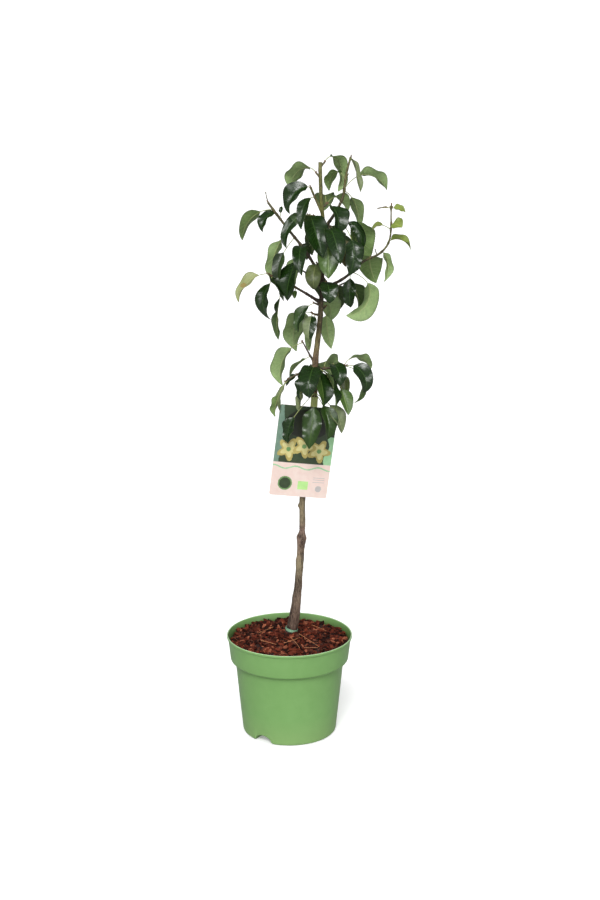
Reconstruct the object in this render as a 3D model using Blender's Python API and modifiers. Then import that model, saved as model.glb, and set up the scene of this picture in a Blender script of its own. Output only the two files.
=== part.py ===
"""A young pear tree in a round nursery pot. Metres, +Z up, origin at the centre of the pot's underside.

The trunk stands a little behind the pot's middle and leans to the right. Every limb, leaf stalk and
leaf rib follows one rule, in path(). Each mass of leaves is one solid: a stem with its leaves fused on.
"""

import math

import bmesh
import bpy
import numpy as np
from mathutils import Matrix, Vector
from mathutils.bvhtree import BVHTree

# Clearance between neighbours, welding distances, the angle (degrees) of a sharp edge, limb roundness
GAP = 0.0003
WELD = 0.00001
AXIS_WELD = 0.0001
SHARP_ANGLE = 35
ROUND_STEPS = 2

# Pot: a thin round tub with a deep rim collar and a thick floor that its drain notches are cut into
POT_HEIGHT = 0.1775
POT_RIM_RADIUS = 0.1115
POT_BEAD_HEIGHT = 0.012
POT_BEAD_FOOT_RADIUS = 0.1085
POT_COLLAR_HEIGHT = 0.044
POT_COLLAR_FOOT_RADIUS = 0.105
POT_STEP_HEIGHT = 0.0042
POT_STEP_RADIUS = 0.0965
POT_BASE_RADIUS = 0.0835
POT_BASE_ROUNDING = 0.004
POT_BASE_CORNER_SHARE = 0.3
POT_FLOOR_TOP = 0.014
POT_WALL = 0.0018
POT_LIP_ROUNDING = 0.001
POT_SIDES = 40
NOTCH_HEIGHT = 0.012
NOTCH_WIDTH = 0.034
NOTCH_SIDES = 24
NOTCH_DEPTH = 0.028
NOTCH_HEADINGS = (-124, 56)

# Soil with a bark mulch on top, filling the pot to just under its rim
SOIL_TOP = 0.165
SOIL_DROP = 0.003
SOIL_FLAT_SHARE = 0.6
SOIL_CLEAR = 0.0032
SOIL_SIDES = 24

# Trunk: height, distance right of the pot's middle, radius. It is cut flat just above the soil
TRUNK = (
    (0.155, -0.002, 0.0130),
    (0.1653, 0.001, 0.0120),
    (0.172, 0.003, 0.0107),
    (0.181, 0.0055, 0.0103),
    (0.200, 0.0085, 0.0095),
    (0.222, 0.0118, 0.0083),
    (0.250, 0.0150, 0.0069),
    (0.286, 0.0174, 0.0064),
    (0.329, 0.0202, 0.0066),
    (0.347, 0.0212, 0.0080),
    (0.360, 0.0225, 0.0055),
    (0.385, 0.0232, 0.0053),
    (0.423, 0.0222, 0.0053),
    (0.510, 0.0325, 0.0051),
    (0.597, 0.0440, 0.0048),
    (0.650, 0.0442, 0.0048),
    (0.666, 0.0448, 0.0057),
    (0.680, 0.0460, 0.0047),
    (0.729, 0.0521, 0.0046),
    (0.764, 0.0542, 0.0043),
    (0.790, 0.0558, 0.0033),
    (0.871, 0.0577, 0.0032),
    (0.905, 0.0573, 0.0031),
    (0.941, 0.0535, 0.0032),
    (0.998, 0.0518, 0.0030),
)
TRUNK_FOOT_BACK = 0.028
TRUNK_FOOT_CUTTER = 0.06
TRUNK_UPRIGHT_AT = 0.73
TRUNK_EASE = 0.018
TRUNK_EASE_SAMPLES = 9
TRUNK_POINTS = 36

# Tape wound round the graft, just above the soil
TAPE_LOW = 0.1735
TAPE_HIGH = 0.1780
TAPE_THICK = 0.0006

# Hanging label: a card on a loop round the trunk. In degrees, it leans a little more than the trunk and
# has swung a little round it
LOOP_AT = 0.595
LOOP_HEIGHT = 0.020
LOOP_THICK = 0.0008
CARD_WIDTH = 0.102
CARD_HEIGHT = 0.162
CARD_THICK = 0.0008
CARD_TOP_AT = 0.588
CARD_OFFSET = -0.0085
CARD_TURN = 2
CARD_SWING = 10
CARD_CORNER = 0.003
CARD_CORNER_POINTS = 4
BAND_SIDES = 24

# Limbs
STEM_RADIUS = 0.0019
TIP_RADIUS = 0.0011
BOUGH_RADIUS = 0.0027
LIMB_STEP = 0.009
LIMB_FEWEST_STEPS = 3
TWIG_SIDES = 3

# Leaves
STALK_RADIUS = 0.0009
STALK_SUNK = 0.010
STALK_SUNK_SHARE = 0.4
STALK_BEND = 0.25
STALK_STEPS = 2
BLADE_THICK = 0.0009
BLADE_RISE_POWER = 0.7
BLADE_STEPS = 4
BLADE_BROADEST_POWER = 0.72
BLADE_FULLNESS = 0.75
BLADE_WIDTH = (0.48, 0.54)
BLADE_FOLD = (12, 32)
BLADE_ROLL = (-10, 10)
BLADE_TURN = (-14, 14)
BLADE_END_WIDTH = 0.0016
MASS_REACH = 0.16

# Limbs: height on the trunk, heading, rises along the limb, length of bare bough, length of leafy stem.
# Headings go round from +X. A limb with no bare bough is a spur whose stem starts at the bark.
LIMBS = {
    "right_leader": (0.889, 5, (48, 56, 64, 86, 78, 72), 0.070, 0.058),
    "right_short": (0.861, 8, (50, 35), 0.032, 0.024),
    "left_long": (0.803, 176, (66, 50, 54), 0.055, 0.104),
    "left_lower": (0.766, 182, (34, 24), 0.036, 0.066),
    "right_long": (0.788, -2, (28, 26, 38, 46, 18, 48, 84, 92, 88), 0.046, 0.154),
    "lower_left": (0.650, -168, (0, -35), 0.030, 0.024),
    "lower_right": (0.651, -8, (12, 6), 0.014, 0.040),
    "twig_left": (0.915, 180, (62, 68), 0.000, 0.047),
    "twig_low": (0.661, 178, (60, 62), 0.000, 0.044),
    "tip_right": (0.991, 20, (40, 40), 0.000, 0.010),
    "tip_left": (0.974, 165, (40, 40), 0.000, 0.009),
    "front_left": (0.906, 180, (20, 10), 0.000, 0.024),
    "mid_right": (0.925, 10, (30, 30), 0.000, 0.010),
    "front_right": (0.882, -60, (30, 30), 0.000, 0.012),
    "mid_left": (0.826, -140, (30, 30), 0.000, 0.014),
    "knot_left": (0.762, -150, (20, 20), 0.000, 0.014),
    "spur_left": (0.745, 150, (10, 10), 0.000, 0.016),
    "knot_right": (0.797, -62, (20, 20), 0.000, 0.012),
    "spur_right": (0.754, 50, (20, 20), 0.000, 0.014),
    "back_high": (0.848, 80, (45, 20), 0.030, 0.050),
    "back_left": (0.790, 128, (40, 10), 0.028, 0.040),
    "back_right": (0.774, 35, (35, 15), 0.022, 0.036),
    "back_low": (0.655, 85, (10, -10), 0.022, 0.036),
    "low_front": (0.655, -95, (15, 10), 0.000, 0.018),
    "label_front": (0.612, -90, (10, 10), 0.000, 0.022),
}

# Leaves of each limb: share of its stem, heading, stalk length, rise, blade length, last rise, roll
LEAVES = {
    "right_leader": (
        (0.35, 132, 0.016, 66, 0.052, -88, 10),
        (0.97, -70, 0.005, -10, 0.060, -90, -35),
        (0.10, 28, 0.034, 52, 0.064, -54, -32),
        (0.05, 50, 0.024, -20, 0.056, -90, 0),
    ),
    "right_short": (
        (1.00, 54, 0.014, 10, 0.090, -95, 0),
        (0.90, -30, 0.003, 50, 0.062, -118, 60),
        (0.70, -68, 0.038, -25, 0.062, -100, 0),
        (0.50, -80, 0.030, -35, 0.045, -95, 0),
    ),
    "left_long": (
        (0.08, -130, 0.030, -40, 0.068, -92, 0),
        (0.10, -100, 0.008, 32, 0.065, -85, 0),
        (0.12, 75, 0.010, 0, 0.032, -70, 0),
        (0.30, -155, 0.032, -45, 0.050, -90, -20),
        (0.50, 130, 0.026, -50, 0.074, -88, 10),
        (0.76, 198, 0.003, 50, 0.044, -94, -30),
        (0.68, 70, 0.010, 70, 0.012, 60, 0),
        (0.86, 170, 0.022, 0, 0.060, -78, 35),
        (0.16, 130, 0.026, -60, 0.050, -90, 0),
    ),
    "left_lower": (
        (0.22, -100, 0.007, -40, 0.014, -80, 0),
        (0.58, -140, 0.030, -75, 0.068, -75, 60),
        (0.88, -140, 0.014, -65, 0.062, -85, 0),
        (1.00, -20, 0.003, -50, 0.050, -60, 15),
        (1.00, 180, 0.016, 0, 0.060, -72, -32),
    ),
    "right_long": (
        (0.06, -95, 0.009, -60, 0.052, -95, 0),
        (0.08, 8, 0.034, -15, 0.078, -167, -40),
        (0.34, 95, 0.008, 20, 0.062, -85, 0),
        (0.47, 40, 0.005, 0, 0.055, -122, -20),
        (0.60, 8, 0.006, 60, 0.042, -60, 30),
        (0.74, 180, 0.016, 40, 0.020, -50, 40),
        (0.80, -50, 0.004, 10, 0.021, -20, 40),
        (0.97, 180, 0.005, 10, 0.020, -10, 30),
        (0.97, 0, 0.004, 10, 0.022, -30, 40),
    ),
    "lower_left": (
        (0.05, 175, 0.002, -15, 0.027, -60, -50),
        (0.70, 190, 0.014, -45, 0.050, -95, -20),
        (1.00, 172, 0.027, -60, 0.040, -85, 20),
    ),
    "lower_right": (
        (0.05, 72, 0.012, 75, 0.048, -90, -30),
        (0.42, -70, 0.006, 60, 0.052, -88, 0),
        (0.40, 80, 0.018, 30, 0.036, -85, 0),
        (0.55, -60, 0.040, -60, 0.047, -62, 0),
        (0.90, 30, 0.016, 60, 0.054, -58, -30),
        (1.00, -30, 0.014, 20, 0.058, -92, 35),
        (0.90, -12, 0.021, 0, 0.067, -128, 30),
        (0.85, -70, 0.016, -60, 0.036, -85, 30),
    ),
    "twig_left": (
        (0.97, 195, 0.006, 36, 0.061, -92, -40),
        (0.61, -125, 0.014, 10, 0.062, -88, 0),
    ),
    "twig_low": (
        (0.97, 168, 0.023, -15, 0.070, -100, 40),
        (0.36, 172, 0.010, -20, 0.044, -60, 5),
    ),
    "tip_right": (
        (0.97, 45, 0.018, 58, 0.078, -125, 0),
    ),
    "tip_left": (
        (0.97, 150, 0.015, 56, 0.062, -85, 12),
    ),
    "front_left": (
        (0.60, 187, 0.019, 20, 0.068, -94, -60),
        (0.95, -78, 0.006, 0, 0.080, -85, 0),
    ),
    "mid_right": (
        (0.90, 45, 0.020, 50, 0.046, -75, 0),
        (0.80, 95, 0.020, 68, 0.044, -90, 0),
        (1.00, -55, 0.014, 0, 0.052, -95, 0),
    ),
    "front_right": (
        (1.00, -76, 0.022, 20, 0.074, -82, 0),
        (0.70, -80, 0.027, -50, 0.058, -75, 0),
    ),
    "mid_left": (
        (1.00, -105, 0.008, 0, 0.050, -85, 0),
    ),
    "knot_left": (
        (0.90, -165, 0.012, -10, 0.050, -90, -40),
    ),
    "spur_left": (
        (0.90, -105, 0.010, -10, 0.045, -88, 0),
        (1.00, 122, 0.026, 10, 0.086, -95, 0),
        (0.60, 165, 0.023, -70, 0.042, -88, 65),
    ),
    "knot_right": (
        (1.00, -78, 0.010, 20, 0.045, -78, 0),
    ),
    "spur_right": (
        (0.80, 78, 0.011, 58, 0.062, -80, 0),
        (1.00, 85, 0.022, -45, 0.060, -95, 0),
    ),
    "back_high": (
        (0.10, 150, 0.010, 20, 0.060, -80, 0),
        (0.40, 20, 0.010, 20, 0.060, -80, 0),
        (0.70, 130, 0.010, 20, 0.062, -85, 0),
        (1.00, 70, 0.010, 10, 0.066, -85, 0),
    ),
    "back_left": (
        (0.30, 60, 0.010, 10, 0.058, -80, 0),
        (1.00, 118, 0.010, 0, 0.062, -85, 0),
    ),
    "back_right": (
        (0.40, 85, 0.012, 10, 0.056, -85, 0),
        (1.00, 50, 0.010, 0, 0.056, -88, 0),
    ),
    "back_low": (
        (0.30, 150, 0.010, -10, 0.056, -85, 0),
        (0.60, 30, 0.010, -10, 0.056, -85, 0),
        (1.00, 100, 0.010, -10, 0.058, -88, 0),
    ),
    "low_front": (
        (1.00, -102, 0.008, 20, 0.065, -80, 0),
        (0.90, -60, 0.012, -20, 0.064, -88, -10),
        (0.90, -152, 0.016, -30, 0.048, -85, 0),
        (0.80, -45, 0.022, 0, 0.074, -92, -28),
        (0.90, 180, 0.046, -60, 0.036, -85, 65),
    ),
    "label_front": (
        (1.00, -100, 0.026, -60, 0.072, -82, 0),
        (0.90, 180, 0.056, -45, 0.048, -88, -60),
        (1.00, -45, 0.028, -40, 0.062, -88, 0),
        (0.90, -15, 0.034, -32, 0.053, -78, 20),
    ),
}


def clear_scene():
    for thing in list(bpy.data.objects):
        bpy.data.objects.remove(thing, do_unlink=True)


def new_collection(name, hidden):
    group = bpy.data.collections.new(name)
    bpy.context.scene.collection.children.link(group)
    group.hide_render = hidden
    return group


def material(name, color, roughness):
    made = bpy.data.materials.new(name)
    made.use_nodes = True
    shader = made.node_tree.nodes["Principled BSDF"]
    shader.inputs["Base Color"].default_value = (*color, 1)
    shader.inputs["Roughness"].default_value = roughness
    made.diffuse_color = (*color, 1)
    return made


def guide(thing):
    """Marks a cutter or a section as a helper that isn't part of the tree."""
    thing.hide_render = True
    thing.display_type = "WIRE"
    return thing


def add_object(name, data, group):
    thing = bpy.data.objects.new(name, data)
    group.objects.link(thing)
    return thing


def settle(thing):
    """Replaces an object's curve or modifiers with the mesh that they make, welded and facing out."""
    graph = bpy.context.evaluated_depsgraph_get()
    mesh = bpy.data.meshes.new_from_object(thing.evaluated_get(graph))
    body = bmesh.new()
    body.from_mesh(mesh)
    bmesh.ops.remove_doubles(body, verts=body.verts, dist=WELD)
    bmesh.ops.recalc_face_normals(body, faces=body.faces)
    body.to_mesh(mesh)
    body.free()
    settled = add_object("settled", mesh, thing.users_collection[0])
    settled.matrix_world = thing.matrix_world.copy()
    settled.hide_render = thing.hide_render
    name = thing.name
    bpy.data.objects.remove(thing, do_unlink=True)
    settled.name = name
    return settled


def paint(thing, finish):
    thing.data.materials.clear()
    thing.data.materials.append(finish)
    thing.data.shade_smooth()
    thing.data.set_sharp_from_angle(angle=math.radians(SHARP_ANGLE))
    return thing


def turned(name, profile, sides, group):
    """A turned solid: its profile at +X, down the outer side from top to bottom, swept by a Screw."""
    mesh = bpy.data.meshes.new(name)
    edges = [(i, i + 1) for i in range(len(profile) - 1)]
    mesh.from_pydata([(radius, 0, height) for radius, height in profile], edges, [])
    thing = add_object(name, mesh, group)
    screw = thing.modifiers.new("Turn", "SCREW")
    screw.steps = sides
    screw.render_steps = sides
    screw.use_merge_vertices = True
    screw.merge_threshold = AXIS_WELD
    return thing


def cut(thing, cutter):
    boolean = thing.modifiers.new("Cut", "BOOLEAN")
    boolean.operation = "DIFFERENCE"
    boolean.object = cutter


def path(start, heading, rises, length, steps, power=1.0, turn=0.0):
    """Points of a stem that leaves start at a heading, with slopes that pass evenly through its rises."""
    ends = np.linspace(0, 1, steps + 1)
    middle = (ends[:-1] + ends[1:]) / 2
    slope = np.radians(np.interp(middle ** power, np.linspace(0, 1, len(rises)), rises))
    way = np.radians(heading + turn * middle)
    step = np.stack([np.cos(slope) * np.cos(way), np.cos(slope) * np.sin(way), np.sin(slope)], -1)
    return np.concatenate([[start], start + np.cumsum(step, 0) * length / steps])


def point_on(points, share):
    """The point at a share of a path's length."""
    at = share * (len(points) - 1)
    before = min(int(at), len(points) - 2)
    return points[before] + (points[before + 1] - points[before]) * (at - before)


def trunk_point(height):
    """The trunk's middle at a height, with its radius there."""
    heights, rights, radii = np.array(TRUNK).T
    back_share = 1 - min(1, (height - SOIL_TOP) / (TRUNK_UPRIGHT_AT - SOIL_TOP))
    near = height + np.linspace(-TRUNK_EASE, TRUNK_EASE, TRUNK_EASE_SAMPLES)
    right = np.interp(near, heights, rights).mean()
    return np.array([right, TRUNK_FOOT_BACK * back_share, height]), np.interp(height, heights, radii)


def tube(name, points, radii, group, section=None):
    """A tapering round limb, or one with the outline of a section curve, closed at both ends."""
    curve = bpy.data.curves.new(name, "CURVE")
    curve.dimensions = "3D"
    curve.use_fill_caps = True
    curve.bevel_resolution = ROUND_STEPS
    curve.bevel_depth = 1.0
    if section:
        curve.bevel_mode = "OBJECT"
        curve.bevel_object = section
    spline = curve.splines.new("POLY")
    spline.points.add(len(points) - 1)
    for spot, place, radius in zip(spline.points, points, radii):
        spot.co = (*place, 1)
        spot.radius = radius
    return settle(add_object(name, curve, group))


def trunk_tube(name, extra, group):
    """The trunk, or with extra radius the cutter that keeps its neighbours clear of it."""
    low, high = TRUNK[0][0], TRUNK[-1][0]
    heights = np.linspace(low, high, TRUNK_POINTS)
    if extra:
        heights[0] -= GAP
        heights[-1] += GAP
    rows = [trunk_point(height) for height in heights]
    return tube(name, [spot for spot, _ in rows], [radius + extra for _, radius in rows], group)


def make_trunk(group, helpers, finish):
    """The trunk, whole from its flat foot on the soil to its pruned tip."""
    trunk = trunk_tube("trunk", 0, group)
    bpy.ops.mesh.primitive_cube_add(size=TRUNK_FOOT_CUTTER)
    under = guide(bpy.context.object)
    under.name = "foot_cutter"
    for owner in list(under.users_collection):
        owner.objects.unlink(under)
    helpers.objects.link(under)
    middle = (0, TRUNK_FOOT_BACK, SOIL_TOP + GAP - TRUNK_FOOT_CUTTER / 2)
    under.data.transform(Matrix.Translation(middle))
    cut(trunk, under)
    return paint(settle(trunk), finish)


def skin_of(thing):
    """A search tree of the object's evaluated faces, to test what touches it."""
    return BVHTree.FromObject(thing, bpy.context.evaluated_depsgraph_get())


def wall_radius(height):
    """The pot's outer radius on its straight wall, below the collar's step."""
    low_step = POT_HEIGHT - POT_COLLAR_HEIGHT - POT_STEP_HEIGHT
    return np.interp(height, (POT_BASE_ROUNDING, low_step), (POT_BASE_RADIUS, POT_STEP_RADIUS))


def make_pot(group, helpers, finish):
    """Outer side from lip to foot, then the floor's top and the inner side back up to the lip."""
    low_bead = POT_HEIGHT - POT_BEAD_HEIGHT
    low_collar = POT_HEIGHT - POT_COLLAR_HEIGHT
    low_step = low_collar - POT_STEP_HEIGHT
    corner = POT_BASE_CORNER_SHARE * POT_BASE_ROUNDING
    outer = [
        (POT_RIM_RADIUS - POT_LIP_ROUNDING, POT_HEIGHT),
        (POT_RIM_RADIUS, POT_HEIGHT - POT_LIP_ROUNDING),
        (POT_BEAD_FOOT_RADIUS, low_bead),
        (POT_COLLAR_FOOT_RADIUS, low_collar),
        (POT_STEP_RADIUS, low_step),
        (POT_BASE_RADIUS, POT_BASE_ROUNDING),
        (POT_BASE_RADIUS - corner, corner),
        (POT_BASE_RADIUS - POT_BASE_ROUNDING, 0),
        (0, 0),
    ]
    inner = [
        (0, POT_FLOOR_TOP),
        (wall_radius(POT_FLOOR_TOP) - POT_WALL, POT_FLOOR_TOP),
        (POT_STEP_RADIUS - POT_WALL, low_step),
        (POT_COLLAR_FOOT_RADIUS - POT_WALL, low_collar + POT_WALL),
        (POT_BEAD_FOOT_RADIUS - POT_WALL, low_bead),
        (POT_RIM_RADIUS - POT_WALL, POT_HEIGHT - POT_LIP_ROUNDING),
        (POT_RIM_RADIUS - POT_LIP_ROUNDING, POT_HEIGHT),
    ]
    pot = settle(turned("pot", outer + inner, POT_SIDES, group))
    for heading in NOTCH_HEADINGS:
        cut(pot, notch_cutter(heading, helpers))
    return paint(settle(pot), finish)


def notch_cutter(heading, helpers):
    """A drain notch: a flat lens that leaves an arched pocket in the foot of the wall."""
    bpy.ops.mesh.primitive_cylinder_add(vertices=NOTCH_SIDES, radius=1, depth=2 * NOTCH_DEPTH)
    notch = bpy.context.object
    notch.name = f"notch_cutter_{heading % 360}"
    for owner in list(notch.users_collection):
        owner.objects.unlink(notch)
    helpers.objects.link(notch)
    way = math.radians(heading)
    across = Matrix.Diagonal((NOTCH_WIDTH / 2, NOTCH_HEIGHT, 1, 1))
    out = Matrix.Rotation(way + math.pi / 2, 4, "Z") @ Matrix.Rotation(math.pi / 2, 4, "X")
    place = Matrix.Translation((POT_BASE_RADIUS * math.cos(way), POT_BASE_RADIUS * math.sin(way), 0))
    notch.data.transform(place @ out @ across)
    return guide(notch)


def make_soil(group, finish):
    """The filled space inside the pot, clear of its wall, with a low crowned top."""
    low_collar = POT_HEIGHT - POT_COLLAR_HEIGHT
    low_step = low_collar - POT_STEP_HEIGHT
    floor = POT_FLOOR_TOP + 2 * GAP
    top_radius = POT_BEAD_FOOT_RADIUS - SOIL_CLEAR
    profile = [
        (0, SOIL_TOP),
        (SOIL_FLAT_SHARE * top_radius, SOIL_TOP),
        (top_radius, SOIL_TOP - SOIL_DROP),
        (POT_COLLAR_FOOT_RADIUS - SOIL_CLEAR, low_collar + POT_WALL),
        (POT_STEP_RADIUS - SOIL_CLEAR, low_step),
        (wall_radius(floor) - SOIL_CLEAR, floor),
        (0, floor),
    ]
    return paint(settle(turned("soil_and_bark", profile, SOIL_SIDES, group)), finish)


def trunk_frame(height):
    """The trunk's middle, its direction upwards and the level direction across its front."""
    middle, radius = trunk_point(height)
    ahead, _ = trunk_point(height + TRUNK_EASE)
    behind, _ = trunk_point(height - TRUNK_EASE)
    up = Vector(ahead - behind).normalized()
    front = Vector((0, -1, 0))
    right = up.cross(front).normalized() * -1
    return Vector(middle), radius, up, right


def stand_on_trunk(thing, height):
    """Puts an object's Z axis along the trunk and its X axis to the right."""
    middle, _, up, right = trunk_frame(height)
    back = up.cross(right)
    thing.matrix_world = Matrix.Translation(middle) @ Matrix((right, back, up)).transposed().to_4x4()
    bpy.context.view_layer.update()


def band(name, at, height, inner, thick, group):
    """A flat ring round the trunk."""
    profile = [
        (inner + thick, height / 2),
        (inner + thick, -height / 2),
        (inner, -height / 2),
        (inner, height / 2),
        (inner + thick, height / 2),
    ]
    ring = settle(turned(name, profile, BAND_SIDES, group))
    stand_on_trunk(ring, at)
    return ring


def make_tape(group, finish):
    middle = (TAPE_LOW + TAPE_HIGH) / 2
    inner = trunk_point(TAPE_LOW)[1] + 2 * GAP
    return paint(band("graft_tape", middle, TAPE_HIGH - TAPE_LOW, inner, TAPE_THICK, group), finish)


def loop_inner():
    return trunk_point(LOOP_AT)[1] + 2 * GAP


def make_loop(group, finish):
    return paint(band("label_loop", LOOP_AT, LOOP_HEIGHT, loop_inner(), LOOP_THICK, group), finish)


def make_card(group, finish):
    """A thin card with rounded corners, flat against the front of its loop."""
    corners = []
    for right, high in ((1, 1), (-1, 1), (-1, -1), (1, -1)):
        start = math.atan2(high, right) - math.pi / 4
        for angle in np.linspace(start, start + math.pi / 2, CARD_CORNER_POINTS):
            corners.append((
                right * (CARD_WIDTH / 2 - CARD_CORNER) + CARD_CORNER * math.cos(angle),
                high * (CARD_HEIGHT / 2 - CARD_CORNER) + CARD_CORNER * math.sin(angle),
            ))
    curve = bpy.data.curves.new("label_card", "CURVE")
    curve.dimensions = "2D"
    curve.fill_mode = "BOTH"
    curve.extrude = CARD_THICK / 2
    spline = curve.splines.new("POLY")
    spline.points.add(len(corners) - 1)
    spline.use_cyclic_u = True
    for spot, (across, high) in zip(spline.points, corners):
        spot.co = (across, high, 0, 1)
    card = settle(add_object("label_card", curve, group))
    forward = loop_inner() + LOOP_THICK + GAP + CARD_THICK / 2
    lie = Matrix.Rotation(math.pi / 2, 4, "X")
    hang = Matrix.Translation((CARD_OFFSET, -forward, -CARD_HEIGHT / 2))
    turn = Matrix.Rotation(math.radians(CARD_TURN), 4, "Y")
    swing = Matrix.Rotation(math.radians(CARD_SWING), 4, "Z")
    card.data.transform(swing @ turn @ hang @ lie)
    stand_on_trunk(card, CARD_TOP_AT)
    return paint(card, finish)


def blade_surface(rib, heading, turn, width, fold, roll):
    """Rows of left edge, rib and right edge: an egg-shaped outline, folded up along the rib and rolled."""
    share = np.linspace(0, 1, len(rib))
    full = np.sin(np.pi * share ** BLADE_BROADEST_POWER) ** BLADE_FULLNESS
    half = width / 2 * full + BLADE_END_WIDTH / 2
    way = np.radians(heading + turn * share)
    level = np.stack([-np.sin(way), np.cos(way), 0 * way], -1)
    along = np.gradient(rib, axis=0)
    along /= np.linalg.norm(along, axis=1)[:, None]
    up = np.cross(along, level)
    roll = math.radians(roll)
    side = level * math.cos(roll) + up * math.sin(roll)
    up = up * math.cos(roll) - level * math.sin(roll)
    fold = math.radians(fold)
    out = half[:, None] * side * math.cos(fold)
    lift = half[:, None] * up * math.sin(fold)
    return np.stack([rib + out + lift, rib, rib - out + lift], 1)


def make_blade(name, surface, thick, group):
    """The blade's sheet, given its thickness by Solidify."""
    rows = len(surface)
    body = bmesh.new()
    bmesh.ops.create_grid(body, x_segments=2, y_segments=rows - 1, size=1)
    body.verts.ensure_lookup_table()
    order = sorted(body.verts, key=lambda v: (round(v.co.y, 4), round(v.co.x, 4)))
    for vert, place in zip(order, surface.reshape(-1, 3)):
        vert.co = place
    mesh = bpy.data.meshes.new(name)
    body.to_mesh(mesh)
    body.free()
    blade = add_object(name, mesh, group)
    shell = blade.modifiers.new("Shell", "SOLIDIFY")
    shell.thickness = thick
    shell.offset = 0
    shell.use_even_offset = True
    return settle(blade)


def grow_leaf(name, foot, leaf, draw, extra, section, group):
    """A leaf's stalk and blade. Extra thickness makes the bodies that test its clearance."""
    _, heading, stalk_length, rise, blade_length, last_rise, roll = leaf
    width, fold, more_roll, turn = draw
    join_rise = rise + (last_rise - rise) * STALK_BEND
    stalk = path(foot, heading, (rise, join_rise), stalk_length, STALK_STEPS)
    rib = path(
        stalk[-1], heading, (join_rise, last_rise), blade_length, BLADE_STEPS, BLADE_RISE_POWER, turn
    )
    sunk = point_on(rib, min(STALK_SUNK_SHARE, STALK_SUNK / blade_length))
    spots = np.concatenate([stalk, [sunk]])
    radii = [STALK_RADIUS + extra] * len(spots)
    surface = blade_surface(rib, heading, turn, width * blade_length, fold, roll + more_roll)
    return (
        tube(name + "_stalk", spots, radii, group, section),
        make_blade(name + "_blade", surface, BLADE_THICK + 2 * extra, group),
    )


def clear_of(bodies, skins):
    return not any(skin_of(body).overlap(skin) for body in bodies for skin in skins)


def remove_all(things):
    for thing in things:
        bpy.data.objects.remove(thing, do_unlink=True)


def limb_points(limb):
    """The whole limb's path, from the trunk's middle to its tip, and the share of it that is bare bough."""
    height, heading, rises, bare, leafy = limb
    foot, _ = trunk_point(height)
    length = bare + leafy
    steps = max(LIMB_FEWEST_STEPS, round(length / LIMB_STEP))
    return path(foot, heading, rises, length, steps), bare / length


def stretch(points, start, end, radius):
    """The part of a limb between two shares of its length, with radii that taper from the limb's own."""
    steps = max(LIMB_FEWEST_STEPS, round((end - start) * (len(points) - 1)))
    shares = np.linspace(start, end, steps + 1)
    return [point_on(points, share) for share in shares], radius + (TIP_RADIUS - radius) * shares


def fuse(stem, leaves, group):
    """One union joins the stem with all that is in the group of its stalks and blades."""
    boolean = stem.modifiers.new("Join", "BOOLEAN")
    boolean.operation = "UNION"
    boolean.operand_type = "COLLECTION"
    boolean.collection = group
    stem = settle(stem)
    remove_all(leaves)
    return stem


def make_twig_section(helpers):
    """The outline that gives twigs and leaf stalks their few sides."""
    outline = bpy.data.curves.new("twig_section", "CURVE")
    outline.dimensions = "2D"
    corners = outline.splines.new("POLY")
    corners.points.add(TWIG_SIDES - 1)
    corners.use_cyclic_u = True
    for corner, spot in enumerate(corners.points):
        angle = 2 * math.pi * corner / TWIG_SIDES
        spot.co = (math.cos(angle), math.sin(angle), 0, 1)
    return guide(add_object("twig_section", outline, helpers))


def make_bough(name, points, bare, group, clearance, finish):
    """The bare part of a limb: one taper that starts at the bark and ends where the leaves begin."""
    spots, radii = stretch(points, 0, bare, BOUGH_RADIUS)
    bough = tube("bough_" + name, spots, radii, group)
    cut(bough, clearance)
    return paint(settle(bough), finish)


def make_mass(name, seed, points, bare, section, skins, group, leaf_parts, clearance, finish):
    """A limb's stem and leaves as one solid. A leaf that would touch another part is left out."""
    if bare:
        start = bare + GAP / (LIMBS[name][3] + LIMBS[name][4])
        spots, radii = stretch(points, start, 1, BOUGH_RADIUS)
        stem = tube("leaves_" + name, spots, radii, group, section)
    else:
        spots, radii = stretch(points, 0, 1, STEM_RADIUS)
        stem = tube("leaves_" + name, spots, radii, group, section)
        cut(stem, clearance)
        stem = settle(stem)
    rng = np.random.default_rng(seed)
    leaves = []
    left_out = []
    middle = point_on(points, (bare + 1) / 2)
    for number, leaf in enumerate(LEAVES[name]):
        draw = [rng.uniform(*span) for span in (BLADE_WIDTH, BLADE_FOLD, BLADE_ROLL, BLADE_TURN)]
        foot = point_on(points, bare + (1 - bare) * leaf[0])
        label = f"{name}_{number}"
        trial = grow_leaf(label, foot, leaf, draw, GAP, section, leaf_parts)
        reach = max(np.linalg.norm(np.array(v.co) - middle) for v in trial[1].data.vertices)
        fits = reach < MASS_REACH and clear_of(trial, skins)
        remove_all(trial)
        if fits:
            leaves += grow_leaf(label, foot, leaf, draw, 0, section, leaf_parts)
        else:
            left_out.append(label)
    mass = paint(fuse(stem, leaves, leaf_parts), finish)
    mass["left_out"] = left_out
    return mass


clear_scene()
tree = new_collection("potted_pear_tree", hidden=False)
helpers = new_collection("cutters", hidden=True)
leaf_parts = new_collection("leaf_parts", hidden=True)

green_plastic = material("green_plastic", (0.25, 0.46, 0.18), 0.45)
bark_mulch = material("bark_mulch", (0.08, 0.028, 0.012), 0.95)
pear_bark = material("pear_bark", (0.16, 0.09, 0.05), 0.8)
pear_leaf = material("pear_leaf", (0.035, 0.12, 0.025), 0.4)
mint_tape = material("mint_tape", (0.45, 0.75, 0.55), 0.5)
printed_card = material("printed_card", (0.05, 0.16, 0.07), 0.35)
yellow_green_loop = material("yellow_green_loop", (0.5, 0.55, 0.12), 0.4)

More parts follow.
